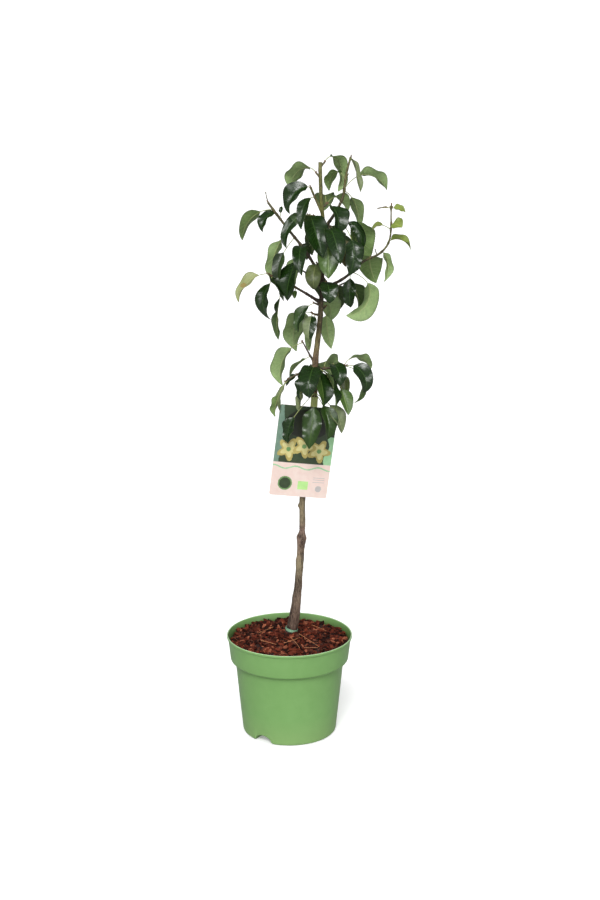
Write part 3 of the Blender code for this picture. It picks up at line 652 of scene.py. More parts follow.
def bark_relief(height, angle, radius, rough):
    """How far the bark stands out at a height and angle.

    It is noise drawn out upwards, plus each knot as a bump exp(-(dz / half height)² - (da / half width)²)
    and each ring scar as a groove -depth * exp(-(dz / RING_SCAR_HEIGHT)²).
    """
    place = np.stack([radius * np.cos(angle), radius * np.sin(angle), height * BARK_FIBRE], -1)
    coarse, fine = BARK_RIDGES
    out = rough * (soft_noise(place, coarse, 7) + 0.6 * soft_noise(place, fine, 8))
    for at, heading, tall, high, wide in KNOTS:
        turn = np.degrees(np.angle(np.exp(1j * (angle - math.radians(heading)))))
        out += tall * np.exp(-(((height - at) / high) ** 2) - (turn / wide) ** 2)
    for at, deep in RING_SCARS:
        out -= deep * np.exp(-(((height - at) / RING_SCAR_HEIGHT) ** 2))
    return out


def closed(grid, start=None, end=None):
    """A grid closed at both ends by rows that are all one point, the end rows' middles if none is given."""
    points = (grid[0].mean(0) if start is None else start, grid[-1].mean(0) if end is None else end)
    first, last = (np.broadcast_to(point, grid[0].shape) for point in points)
    return np.concatenate([[first], grid, [last]])


def bark_finish(name, tones, fibre, bump, roughness):
    """Bark whose colour changes with height, with dark furrows drawn out upwards and pale pores.

    Tones are rows of height and paint colour, and blend into each other from low to high. The first two
    rows are the ends.
    """
    made, tree, shader = new_finish(name, roughness, Specular_IOR_Level=0.35)
    place = add_node(tree, "ShaderNodeTexCoord", {}).outputs["Object"]
    height = add_node(tree, "ShaderNodeSeparateXYZ", {0: place}).outputs["Z"]
    low, high = tones[0][0], tones[1][0]
    bands = add_node(tree, "ShaderNodeValToRGB", {0: fade(tree, height, low, high, 0, 1)})
    stops = bands.color_ramp.elements
    for number, (at, color) in enumerate(tones):
        stop = stops[number] if number < 2 else stops.new(1)
        stop.position = (at - low) / (high - low)
        stop.color = plain(*color)
    grain = grain_in(tree, fibre, BARK_STRETCH)
    layers = {0: 1.0, 6: bands.outputs[0], 7: BARK_FURROW}
    dark = add_node(tree, "ShaderNodeMix", layers, data_type="RGBA", blend_type="MULTIPLY").outputs[2]
    color = blend(tree, grain["Mask"], dark, bands.outputs[0])
    pores = add_node(tree, "ShaderNodeTexVoronoi", {"Vector": place, "Scale": PORE_SCALE}).outputs["Distance"]
    color = blend(tree, fade(tree, pores, *PORE_EDGE, PORE_COVER, 0), color, BARK_PORE)
    dress(tree, shader, color, grain["Height"], bump)
    return made


TRUNK_TONES = (
    (0.160, (84, 60, 50)),
    (1.000, (126, 126, 76)),
    (0.200, (130, 106, 90)),
    (0.260, (146, 128, 108)),
    (0.300, (146, 134, 104)),
    (0.340, (156, 132, 114)),
    (0.365, (142, 116, 102)),
    (0.385, (148, 134, 106)),
    (0.440, (140, 128, 96)),
    (0.460, (124, 110, 78)),
    (0.640, (134, 120, 80)),
    (0.672, (134, 110, 84)),
    (0.695, (134, 124, 80)),
    (0.730, (96, 86, 52)),
    (0.775, (76, 62, 40)),
    (0.880, (80, 76, 42)),
    (0.930, (120, 122, 60)),
    (0.965, (144, 142, 92)),
)
trunk_height = np.arange(TRUNK[0][0], TRUNK[-1][0], TRUNK_RING)
trunk_middle, trunk_radius = trunk_line(trunk_height)
trunk_rough = np.interp(trunk_height, *TRUNK_ROUGH)
at_height, at_angle = np.meshgrid(trunk_height, round_angles(TRUNK_SIDES), indexing="ij")
trunk_out = trunk_radius[:, None] + bark_relief(
    at_height, at_angle, trunk_radius[:, None], trunk_rough[:, None]
)
lobes = np.cos(5 * at_angle + 1) * np.exp(-(at_height - TRUNK[0][0]) / FOOT_LOBE_HEIGHT)
trunk_out *= 1 + FOOT_LOBES * lobes
trunk_ring = around(round_angles(TRUNK_SIDES))
trunk_grid = trunk_middle[:, None] + trunk_out[..., None] * trunk_ring
cut_top = trunk_middle[-1] + (0, 0, CUT_RISE)
cut_rim = cut_top + CUT_SHARE * trunk_out[-1][:, None] * trunk_ring
trunk_grid = closed(np.concatenate([trunk_grid, [cut_rim]]), trunk_middle[0], cut_top)
trunk_looks = np.zeros((len(trunk_grid) - 1, TRUNK_SIDES), int)
trunk_looks[-1] = 1
pear_bark = bark_finish("pear_bark", TRUNK_TONES, fibre=700, bump=0.0006, roughness=0.7)
cut_wood = grained(
    "cut_wood", (150, 118, 76), (188, 158, 110), roughness=0.8, scale=900, bump=0.0002
)
trunk = add_piece("trunk_bark", [(trunk_grid, trunk_looks, (0, 0))], [pear_bark, cut_wood], 50)
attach(trunk, "root")
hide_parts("trunk")


# Graft tape: a strip of mint-green stretch tape wound three times round the graft, each turn laid a
# little over the last.
TAPE_LOW = 0.1735
TAPE_HIGH = 0.1780
TAPE_INNER = 0.0003
TAPE_THICK = 0.0006
TAPE_LAPS = 3
TAPE_STEP = 0.00025
TAPE_WRINKLE = 0.00012


def trunk_up(low, high):
    """The trunk's direction between two heights."""
    behind, ahead = trunk_line(np.array([low, high]))[0]
    return (ahead - behind) / np.linalg.norm(ahead - behind)


def trunk_band(low, high, inner, outer_at, sides=72, rows=16):
    """A ring round the trunk between two heights, inner wall down and outer wall up, square to its lean."""
    share = np.linspace(0, 1, rows)
    angle = round_angles(sides)
    middle, radius = trunk_line(np.array([(low + high) / 2]))
    up = trunk_up(low, high)
    right = np.cross((0, 1, 0), up)
    back = np.cross(up, right)
    level = np.concatenate([share[::-1], share, share[-1:]]) - 1 / 2
    inside = np.full((rows, sides), radius[0] + inner)
    outside = radius[0] + outer_at(share[:, None], angle)
    reach = np.concatenate([inside, outside, inside[:1]])
    ring = np.cos(angle)[:, None] * right + np.sin(angle)[:, None] * back
    return middle[0] + reach[..., None] * ring + (level * (high - low))[:, None, None] * up


def tape_surface(share, angle):
    """Three laps that climb: the outside stands a step further out where a lap starts, and tapers back."""
    lap = (share * TAPE_LAPS - angle / (2 * np.pi)) % 1
    wrinkle = TAPE_WRINKLE * np.sin(7 * angle + 9 * share)
    return TAPE_INNER + TAPE_THICK - TAPE_STEP * lap**0.6 + wrinkle


tape_finish = grained(
    "mint_tape", (112, 160, 128), (140, 186, 152), roughness=0.45, scale=400, bump=0.0003
)
tape_band = trunk_band(TAPE_LOW, TAPE_HIGH, TAPE_INNER, tape_surface)
tape = add_piece("tape_winding", [(tape_band, 0, (0, 0))], [tape_finish], 50)
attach(tape, "root")
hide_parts("graft_tape")


# Label loop: a flat strap of yellow-green plastic, closed round the stem by a catch at its back. The
# card hangs from it.
LOOP_AT = 0.595
LOOP_HEIGHT = 0.020
LOOP_INNER = 0.0006
LOOP_THICK = 0.0007
LOOP_RIDGE = 0.00015
LOOP_CATCH = 0.0008
# Half the catch's width round the stem, in radians
LOOP_CATCH_SPAN = 0.25


def loop_surface(share, angle):
    """Even strap with a thin moulded ridge along both edges and a raised catch at the back."""
    ridge = LOOP_RIDGE * (np.cos(2 * np.pi * share) > 0.8)
    catch = LOOP_CATCH * np.exp(-((np.angle(np.exp(1j * (angle - np.pi / 2))) / LOOP_CATCH_SPAN) ** 4))
    return LOOP_INNER + LOOP_THICK + ridge + catch


loop_finish = grained(
    "yellow_green_strap", (176, 186, 112), (194, 202, 130), roughness=0.4, scale=200, bump=0.0001
)
loop_band = trunk_band(LOOP_AT - LOOP_HEIGHT / 2, LOOP_AT + LOOP_HEIGHT / 2, LOOP_INNER, loop_surface)
loop = add_piece("label_strap", [(loop_band, 0, (0, 0))], [loop_finish], 50)
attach(loop, "root")
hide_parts("label_loop")


# Label card: a stiff printed plastic card that hangs in front of the stem, a little askew to it and
# swung round it. Its print is plain shapes: golden petals on dark green, and green shapes on cream.
CARD_WIDTH = 0.102
CARD_HEIGHT = 0.162
CARD_THICK = 0.0008
CARD_TOP_AT = 0.588
CARD_OFFSET = -0.0085
CARD_TURN = 2
CARD_SWING = 10
CARD_CORNER = 0.003
CARD_COLUMNS = 120
CARD_ROWS = 184
CARD_BOW = 0.0012
CARD_CLEAR = 0.0021
# Finishes of the print, in the order of their numbers
CARD_FINISHES = (
    ("card_cream", (236, 210, 200), (242, 222, 212)),
    ("card_dark_green", (40, 58, 34), (56, 74, 44)),
    ("card_near_black", (18, 24, 12), (28, 34, 18)),
    ("card_gold", (176, 158, 86), (194, 178, 104)),
    ("card_pale_gold", (206, 196, 126), (220, 212, 152)),
    ("card_mint", (150, 204, 152), (172, 218, 170)),
    ("card_leaf_green", (104, 146, 84), (122, 160, 98)),
    ("card_soft_grey", (186, 180, 178), (198, 192, 190)),
    ("card_sage", (104, 134, 116), (124, 152, 134)),
    ("card_lime", (176, 226, 136), (190, 236, 150)),
)
CREAM, DARK_GREEN, NEAR_BLACK, GOLD, PALE_GOLD, MINT, LEAF_GREEN, SOFT_GREY, SAGE, LIME = range(10)
# Print, from the card's middle to the right and up: flowers as middles with the reach of their petals,
# an oval as middle and half axes, discs as middle, radius and finish, bars as middle, half width, half
# height and finish
FIELD_LOW = -0.021
FLOWERS = ((-0.027, 0.003), (0.027, 0.003), (0.000, 0.010))
FLOWER_REACH = 0.0215
FLOWER_EYE = 0.0040
OVAL = (0.002, 0.050, 0.040, 0.026)
CARD_DISCS = (
    (-0.026, -0.058, 0.0125, LEAF_GREEN),
    (-0.026, -0.058, 0.0100, DARK_GREEN),
    (0.034, -0.065, 0.0055, SOFT_GREY),
)
CARD_BARS = (
    (0.006, -0.060, 0.0090, 0.0075, LIME),
    (0.033, -0.045, 0.0105, 0.0005, SOFT_GREY),
    (0.033, -0.049, 0.0105, 0.0005, SOFT_GREY),
    (0.033, -0.053, 0.0105, 0.0005, SOFT_GREY),
)
# Wavy edges and line: where they lie, how far they wave and how closely
SAGE_EDGE = (-0.039, 0.004, 60)
MINT_EDGE = (0.040, 0.004, 130)
MINT_TOP = 0.030
MINT_LINE = (-0.029, -0.0025, 160)
MINT_LINE_HALF = 0.0012


def wavy(edge, at):
    """Where a wavy edge lies: place + wave * sin(closeness * at)."""
    return edge[0] + edge[1] * np.sin(at * edge[2])


def card_print(across, high):
    """The number of the finish at each place on the card, from its middle, in metres.

    The dark field lies above FIELD_LOW, with a wavy strip at each side and a dark oval. A flower's edge
    is reach * (0.78 + 0.22 cos(5 * angle + 0.6)), and a wavy line runs across the cream part.
    """
    look = np.full(across.shape, CREAM)
    field = high > FIELD_LOW
    look[field] = DARK_GREEN
    look[field & (across < wavy(SAGE_EDGE, high))] = SAGE
    look[field & (np.hypot((across - OVAL[0]) / OVAL[2], (high - OVAL[1]) / OVAL[3]) < 1)] = NEAR_BLACK
    look[field & (across > wavy(MINT_EDGE, high)) & (high < MINT_TOP)] = MINT
    for right, up in FLOWERS:
        turn, reach = np.arctan2(high - up, across - right), np.hypot(across - right, high - up)
        petal = FLOWER_REACH * (0.78 + 0.22 * np.cos(5 * turn + 0.6))
        look[field & (reach < petal)] = GOLD
        look[field & (reach < petal * 0.72)] = PALE_GOLD
        look[field & (reach < FLOWER_EYE)] = LEAF_GREEN
    look[np.abs(high - wavy(MINT_LINE, across)) < MINT_LINE_HALF] = MINT
    for right, up, radius, finish in CARD_DISCS:
        look[np.hypot(across - right, high - up) < radius] = finish
    for right, up, wide, tall, finish in CARD_BARS:
        look[(np.abs(across - right) < wide) & (np.abs(high - up) < tall)] = finish
    return look


def card_edge():
    """Places across and up the card, on a square grid drawn in to its round corners."""
    across, high = np.meshgrid(np.linspace(1, -1, CARD_COLUMNS), np.linspace(-1, 1, CARD_ROWS))
    across, high = across * CARD_WIDTH / 2, high * CARD_HEIGHT / 2
    over_x = np.clip(np.abs(across) - (CARD_WIDTH / 2 - CARD_CORNER), 0, None) / CARD_CORNER
    over_z = np.clip(np.abs(high) - (CARD_HEIGHT / 2 - CARD_CORNER), 0, None) / CARD_CORNER
    pull = np.maximum(over_x, over_z) / np.maximum(np.hypot(over_x, over_z), 1e-9)
    drawn_in = np.where((over_x > 0) & (over_z > 0), (pull - 1) * CARD_CORNER, 0)
    return across + np.sign(across) * drawn_in * over_x, high + np.sign(high) * drawn_in * over_z


def card_surface():
    """Back and front sheets joined at the edge, with the warp of a hung card.

    The warp is bow * (0.8 * (across / half width)² + 0.6 * sin(3 * high / height)).
    """
    across, high = card_edge()
    bow = CARD_BOW * ((across / (CARD_WIDTH / 2)) ** 2 * 0.8 + 0.6 * np.sin(high / CARD_HEIGHT * 3))
    front = np.stack([across, bow - CARD_THICK / 2, high], -1)
    rear = front[:, ::-1] + (0, CARD_THICK, 0)
    grid = closed(np.concatenate([rear, front], 1))
    middle_x = (across[:-1, :-1] + across[1:, 1:]) / 2
    middle_z = (high[:-1, :-1] + high[1:, 1:]) / 2
    looks = np.zeros((len(grid) - 1, 2 * CARD_COLUMNS), int)
    looks[1:-1, CARD_COLUMNS:-1] = card_print(middle_x, middle_z)
    return grid, looks


def turn_in_plane(first, second, degrees):
    """A matrix for rows of points that turns them from one axis towards another."""
    turn = np.eye(3)
    turn[first, first] = turn[second, second] = math.cos(math.radians(degrees))
    turn[first, second] = math.sin(math.radians(degrees))
    turn[second, first] = -turn[first, second]
    return turn


card_grid, card_looks = card_surface()
card_top = trunk_line(np.array([CARD_TOP_AT]))[0][0]
card_up = trunk_up(CARD_TOP_AT - TRUNK_EASE, CARD_TOP_AT + TRUNK_EASE)
card_right = np.cross((0, 1, 0), card_up)
card_right /= np.linalg.norm(card_right)
card_back = np.cross(card_up, card_right)
card_forward = trunk_line(np.array([LOOP_AT]))[1][0] + CARD_CLEAR
card_place = card_grid + (CARD_OFFSET, -card_forward, -CARD_HEIGHT / 2)
card_place = card_place @ turn_in_plane(2, 0, CARD_TURN) @ turn_in_plane(0, 1, CARD_SWING)
card_place = card_top + card_place @ np.stack([card_right, card_back, card_up])
card_finishes = [
    grained(*finish, roughness=0.4, scale=120, bump=0.00003, Coat_Weight=0.15) for finish in CARD_FINISHES
]
card = add_piece("label_print", [(card_place, card_looks, (0, 0))], card_finishes, 50)
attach(card, "root")
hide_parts("label_card")


# Limbs: boughs with red-brown bark, the greener leafy stems they run out in, short spurs on the stem,
# and a bud in the crook of every leaf. All follow one rule, in path().
STEM_RADIUS = 0.0019
TIP_RADIUS = 0.0011
STOUT_TIPS = {"right_leader": 0.0006, "left_long": 0.0008, "twig_left": 0.0007}
BOUGH_RADIUS = 0.0027
LIMB_RING = 0.0012
# How far a limb swells at its foot and over what length, then how far at a joint and at a scar, with the
# width of both as a share of the limb
COLLAR = 0.0012
COLLAR_LENGTH = 0.007
JOINT_SWELL = 0.0005
SCAR_SWELL = 0.0004
SWELL_WIDTH = 0.016
LIMB_RIDGE = 0.0022
BOUGH_ROUGH = 0.00016
STEM_ROUGH = 0.00008
TWIG_RADII = (0.0010, 0.0006)
TWIG_KNOB = 0.0003
BUD_LENGTH = 0.0046
BUD_RADII = (0.0009, 0.0010, 0.0011, 0.0012, 0.0012, 0.0011, 0.0009, 0.0005, 0.0002)
YOUNG_LIMBS = ("right_long", "twig_left", "right_leader")
# Height on the trunk, heading, rises along the limb, length of bare bough, length of leafy stem
LIMBS = {
    "right_leader": (0.889, 5, (48, 56, 64, 86, 78, 72), 0.070, 0.058),
    "right_short": (0.861, 8, (50, 35), 0.032, 0.024),
    "left_long": (0.803, 176, (66, 50, 54), 0.055, 0.104),
    "left_lower": (0.766, 182, (34, 24), 0.036, 0.066),
    "right_long": (0.788, -2, (28, 26, 38, 46, 18, 48, 84, 92, 88), 0.046, 0.154),
    "lower_left": (0.650, -168, (0, -35), 0.030, 0.024),
    "lower_right": (0.651, -8, (12, 6), 0.014, 0.040),
    "twig_left": (0.915, 180, (62, 68), 0.000, 0.047),
    "twig_low": (0.661, 178, (60, 62), 0.000, 0.044),
    "tip_right": (0.991, 20, (40, 40), 0.000, 0.010),
    "tip_left": (0.974, 165, (40, 40), 0.000, 0.009),
    "front_left": (0.906, 180, (20, 10), 0.000, 0.024),
    "mid_right": (0.925, 10, (30, 30), 0.000, 0.010),
    "front_right": (0.882, -60, (30, 30), 0.000, 0.012),
    "mid_left": (0.826, -140, (30, 30), 0.000, 0.014),
    "knot_left": (0.762, -150, (20, 20), 0.000, 0.014),
    "spur_left": (0.745, 150, (10, 10), 0.000, 0.016),
    "knot_right": (0.797, -62, (20, 20), 0.000, 0.012),
    "spur_right": (0.754, 50, (20, 20), 0.000, 0.014),
    "back_high": (0.848, 80, (45, 20), 0.030, 0.050),
    "back_left": (0.790, 128, (40, 10), 0.028, 0.040),
    "back_right": (0.774, 35, (35, 15), 0.022, 0.036),
    "back_low": (0.655, 85, (10, -10), 0.022, 0.036),
    "low_front": (0.655, -95, (15, 10), 0.000, 0.018),
    "label_front": (0.612, -90, (10, 10), 0.000, 0.022),
}
# Leaves of each limb: share of its stem, heading, stalk length, rise, blade length, last rise, roll and
# tone. Then how a leaf has grown otherwise: widen is a factor, sway and bow are shares of its length,
# curl and twist are degrees, and scorch gives it a dry spot. Zone is the part, across and along, that has
# its other tone, mostly painted light and painted shade: a lit half, a shaded half or a lit top
LEAVES = {
    "right_leader": (
        (0.35, 132, 0.016, 66, 0.052, -88, 10, "matt", {"widen": 0.8}),
        (0.97, -70, 0.005, -10, 0.060, -90, -35, "pale_green", {"widen": 0.65, "sway": 0.12}),
        (0.10, 28, 0.034, 52, 0.064, -54, -32, "silver", {"widen": 0.9}),
        (0.05, 50, 0.024, -20, 0.056, -90, 0, "silver", {"widen": 0.9}),
    ),
    "right_short": (
        (1.00, 54, 0.014, 10, 0.090, -95, 0, "matt"),
        (0.90, -30, 0.003, 50, 0.062, -118, 60, "deep", {"widen": 0.5, "sway": 0.15}),
        (0.70, -68, 0.038, -25, 0.062, -100, 0, "deep", {"sway": -0.15, "widen": 0.95}),
        (0.50, -80, 0.030, -35, 0.045, -95, 0, "browned", {"widen": 1.15}),
    ),
    "left_long": (
        (0.08, -130, 0.030, -40, 0.068, -92, 0, "deep", {"widen": 1.45, "sway": -0.12}),
        (0.10, -100, 0.008, 32, 0.065, -85, 0, "deep", {"sway": 0.15, "widen": 0.7}),
        (0.12, 75, 0.010, 0, 0.032, -70, 0, "painted_shade"),
        # Painted light: one side of this shaded leaf is painted pale as lit
        (0.30, -155, 0.032, -45, 0.050, -90, -20, "painted_shade",
         {"other": "silver", "light_and_shade_zone": (0.6, 1.0, 0.0, 1.0)}),
        (0.50, 130, 0.026, -50, 0.074, -88, 10, "silver", {"widen": 0.6, "sway": 0.1, "bow": 0.08}),
        (0.76, 198, 0.003, 50, 0.044, -94, -30, "deep", {"widen": 1.0}),
        (0.68, 70, 0.010, 70, 0.012, 60, 0, "deep"),
        (0.86, 170, 0.022, 0, 0.060, -78, 35, "matt", {"widen": 1.1}),
        (0.16, 130, 0.026, -60, 0.050, -90, 0, "silver"),
    ),
    "left_lower": (
        (0.22, -100, 0.007, -40, 0.014, -80, 0, "mid"),
        (0.58, -140, 0.030, -75, 0.068, -75, 60, "painted_shade", {"sway": 0.28, "widen": 0.6, "twist": 120}),
        (0.88, -140, 0.014, -65, 0.062, -85, 0, "deep",
         {"sway": 0.08, "curl": 40, "bow": -0.17, "widen": 0.82}),
        (1.00, -20, 0.003, -50, 0.050, -60, 15, "painted_shade", {"widen": 0.45}),
        (1.00, 180, 0.016, 0, 0.060, -72, -32, "yellowed", {"scorch": 1, "widen": 1.05}),
    ),
    "right_long": (
        (0.06, -95, 0.009, -60, 0.052, -95, 0, "deep", {"widen": 0.8, "curl": 45}),
        (0.08, 8, 0.034, -15, 0.078, -167, -40, "silver", {"widen": 1.08}),
        (0.34, 95, 0.008, 20, 0.062, -85, 0, "matt", {"widen": 1.3, "sway": -0.25}),
        (0.47, 40, 0.005, 0, 0.055, -122, -20, "silver", {"widen": 0.58}),
        (0.60, 8, 0.006, 60, 0.042, -60, 30, "young"),
        (0.74, 180, 0.016, 40, 0.020, -50, 40, "young"),
        (0.80, -50, 0.004, 10, 0.021, -20, 40, "young", {"widen": 2.3}),
        (0.97, 180, 0.005, 10, 0.020, -10, 30, "reddish", {"widen": 0.35}),
        (0.97, 0, 0.004, 10, 0.022, -30, 40, "young", {"widen": 1.4}),
    ),
    "lower_left": (
        (0.05, 175, 0.002, -15, 0.027, -60, -50, "deep", {"widen": 0.7}),
        (0.70, 190, 0.014, -45, 0.050, -95, -20, "pale_green", {"widen": 0.75}),
        (1.00, 172, 0.027, -60, 0.040, -85, 20, "matt"),
    ),
    "lower_right": (
        (0.05, 72, 0.012, 75, 0.048, -90, -30, "silver", {"widen": 1.5}),
        (0.42, -70, 0.006, 60, 0.052, -88, 0, "deep", {"widen": 0.98}),
        (0.40, 80, 0.018, 30, 0.036, -85, 0, "silver"),
        (0.55, -60, 0.040, -60, 0.047, -62, 0, "mid", {"widen": 1.2}),
        (0.90, 30, 0.016, 60, 0.054, -58, -30, "silver", {"widen": 0.92}),
        (1.00, -30, 0.014, 20, 0.058, -92, 35, "deep", {"curl": 40}),
        (0.90, -12, 0.021, 0, 0.067, -128, 30, "mid", {"widen": 0.62, "sway": 0.1}),
        (0.85, -70, 0.016, -60, 0.036, -85, 30, "olive"),
    ),
    "twig_left": (
        (0.97, 195, 0.006, 36, 0.061, -92, -40, "deep", {"twist": 30, "widen": 1.1}),
        (0.61, -125, 0.014, 10, 0.062, -88, 0, "deep", {"widen": 0.62}),
    ),
    "twig_low": (
        (0.97, 168, 0.023, -15, 0.070, -100, 40, "silver", {"sway": 0.1, "widen": 1.05}),
        (0.36, 172, 0.010, -20, 0.044, -60, 5, "mid", {"widen": 1.2}),
    ),
    "tip_right": (
        (0.97, 45, 0.018, 58, 0.078, -125, 0, "silver", {"widen": 0.6}),
    ),
    "tip_left": (
        (0.97, 150, 0.015, 56, 0.062, -85, 12, "silver",
         {"other": "deep", "light_and_shade_zone": (0.0, 0.2, 0.05, 1.0), "widen": 0.98}),
    ),
    "front_left": (
        # Painted light: the top part of the blade is painted pale as lit
        (0.60, 187, 0.019, 20, 0.068, -94, -60, "deep",
         {"widen": 0.6, "other": "silver", "light_and_shade_zone": (0.0, 1.0, 0.0, 0.3)}),
        (0.95, -78, 0.006, 0, 0.080, -85, 0, "deep", {"widen": 1.15, "sway": 0.2}),
    ),
    "mid_right": (
        (0.90, 45, 0.020, 50, 0.046, -75, 0, "silver", {"widen": 1.1}),
        (0.80, 95, 0.020, 68, 0.044, -90, 0, "silver", {"widen": 1.4}),
        (1.00, -55, 0.014, 0, 0.052, -95, 0, "deep", {"widen": 1.5, "curl": 40}),
    ),
    "front_right": (
        (1.00, -76, 0.022, 20, 0.074, -82, 0, "deep", {"widen": 0.85, "sway": 0.12}),
        (0.70, -80, 0.027, -50, 0.058, -75, 0, "mid", {"widen": 1.4}),
    ),
    "mid_left": (
        (1.00, -105, 0.008, 0, 0.050, -85, 0, "olive", {"curl": 60}),
    ),
    "knot_left": (
        # Painted light: one side of the blade is painted pale as lit
        (0.90, -165, 0.012, -10, 0.050, -90, -40, "deep",
         {"widen": 0.8, "other": "silver", "light_and_shade_zone": (0.0, 0.45, 0.0, 1.0)}),
    ),
    "spur_left": (
        # Painted light and shade: the pale half is lit, the deep half shaded
        (0.90, -105, 0.010, -10, 0.045, -88, 0, "pale_green",
         {"other": "deep", "light_and_shade_zone": (0.5, 1.0, 0.0, 1.0), "curl": 40}),
        (1.00, 122, 0.026, 10, 0.086, -95, 0, "silver", {"widen": 0.85, "curl": 40}),
        (0.60, 165, 0.023, -70, 0.042, -88, 65, "silver", {"widen": 0.7}),
    ),
    "knot_right": (
        (1.00, -78, 0.010, 20, 0.045, -78, 0, "deep", {"widen": 1.2, "curl": 45}),
    ),
    "spur_right": (
        (0.80, 78, 0.011, 58, 0.062, -80, 0, "silver", {"widen": 1.3, "curl": 50}),
        (1.00, 85, 0.022, -45, 0.060, -95, 0, "silver", {"sway": -0.15, "widen": 0.75}),
    ),
    # The leaves at the back are painted in the shaded tone
    "back_high": (
        (0.10, 150, 0.010, 20, 0.060, -80, 0, "painted_shade"),
        (0.40, 20, 0.010, 20, 0.060, -80, 0, "painted_shade"),
        (0.70, 130, 0.010, 20, 0.062, -85, 0, "painted_shade"),
        (1.00, 70, 0.010, 10, 0.066, -85, 0, "painted_shade"),
    ),
    "back_left": (
        (0.30, 60, 0.010, 10, 0.058, -80, 0, "painted_shade"),
        (1.00, 118, 0.010, 0, 0.062, -85, 0, "painted_shade"),
    ),
    "back_right": (
        (0.40, 85, 0.012, 10, 0.056, -85, 0, "painted_shade"),
        (1.00, 50, 0.010, 0, 0.056, -88, 0, "painted_shade"),
    ),
    "back_low": (
        (0.30, 150, 0.010, -10, 0.056, -85, 0, "painted_shade"),
        (0.60, 30, 0.010, -10, 0.056, -85, 0, "painted_shade"),
        (1.00, 100, 0.010, -10, 0.058, -88, 0, "painted_shade"),
    ),
    "low_front": (
        (1.00, -102, 0.008, 20, 0.065, -80, 0, "deep", {"widen": 1.1, "curl": 45}),
        # Painted light and shade: one half pale as lit, the other deep as shaded
        (0.90, -60, 0.012, -20, 0.064, -88, -10, "mid",
         {"other": "deep", "light_and_shade_zone": (0.5, 1.0, 0.0, 1.0), "widen": 1.12}),
        (0.90, -152, 0.016, -30, 0.048, -85, 0, "deep"),
        (0.80, -45, 0.022, 0, 0.074, -92, -28, "deep"),
        (0.90, 180, 0.046, -60, 0.036, -85, 65, "pale_green", {"widen": 0.62}),
    ),
    "label_front": (
        (1.00, -100, 0.026, -60, 0.072, -82, 0, "matt", {"sway": -0.08, "widen": 0.9}),
        (0.90, 180, 0.056, -45, 0.048, -88, -60, "deep", {"widen": 0.95}),
        (1.00, -45, 0.028, -40, 0.062, -88, 0, "matt", {"curl": 40}),
        (0.90, -15, 0.034, -32, 0.053, -78, 20, "pale_green", {"widen": 1.1}),
    ),
}
# Bare side twigs: limb, share of the whole limb, heading, rises, length
TWIGLETS = (
    ("left_long", 0.985, 150, (62, 84), 0.020),
    ("left_long", 0.62, 100, (40, 60), 0.012),
    ("right_leader", 0.72, -20, (50, 70), 0.010),
    ("right_long", 0.55, 120, (45, 70), 0.012),
    ("left_lower", 0.50, 120, (50, 64), 0.009),
    ("lower_right", 0.60, 110, (45, 60), 0.008),
    ("back_high", 0.75, 10, (50, 70), 0.012),
)


def path(start, heading, rises, length, steps, power=1.0, turn=0.0):
    """Points of a stem that leaves start at a heading, with slopes that pass evenly through its rises."""
    ends = np.linspace(0, 1, steps + 1)
    middle = (ends[:-1] + ends[1:]) / 2
    slope = np.radians(np.interp(middle**power, np.linspace(0, 1, len(rises)), rises))
    way = np.radians(heading + turn * middle)
    step = np.stack([np.cos(slope) * np.cos(way), np.cos(slope) * np.sin(way), np.sin(slope)], -1)
    return np.concatenate([[start], start + np.cumsum(step, 0) * length / steps])


def point_on(points, share):
    """The point at a share of a path's length."""
    at = share * (len(points) - 1)
    before = min(int(at), len(points) - 2)
    return points[before] + (points[before + 1] - points[before]) * (at - before)


def level_at(heading):
    """The level direction to the left of a heading."""
    return np.array([-math.sin(math.radians(heading)), math.cos(math.radians(heading)), 0])


def limb_line(name):
    """A limb's whole path, the share of it that is bare, and its radius at each point."""
    height, heading, rises, bare, leafy = LIMBS[name]
    foot = trunk_line(np.array([height]))[0][0]
    length = bare + leafy
    points = path(foot, heading, rises, length, max(6, round(length / LIMB_RING)))
    share = np.linspace(0, 1, len(points))
    thick = BOUGH_RADIUS if bare else STEM_RADIUS
    radii = thick + (TIP_RADIUS + STOUT_TIPS.get(name, 0) - thick) * share
    collar = COLLAR * np.exp(-share * length / COLLAR_LENGTH)
    return points, bare / length, radii + collar


def swollen(radii, share, joints, size):
    """Adds a node at each joint: the radius grows by size * exp(-(distance / width)²)."""
    for joint in joints:
        radii = radii + size * np.exp(-(((share - joint) / SWELL_WIDTH) ** 2))
    return radii


def barky(grid, rough, seed):
    """Roughens a tube by pushing each point out from its ring's middle with noise."""
    middle = grid.mean(1, keepdims=True)
    out = grid - middle
    reach = np.maximum(np.linalg.norm(out, axis=-1, keepdims=True), 1e-9)
    noise = rough * soft_noise(grid, LIMB_RIDGE, seed)
    return grid + out / reach * noise[..., None] * (reach > 1e-5)


def bud_at(foot, heading, rise):
    """A pointed bud that leaves foot at a heading and rise, and turns up."""
    line = path(foot, heading, (rise, 80), BUD_LENGTH, len(BUD_RADII) - 1)
    return tube(line, BUD_RADII, 8, level_at(heading)), 0, (0, 0)


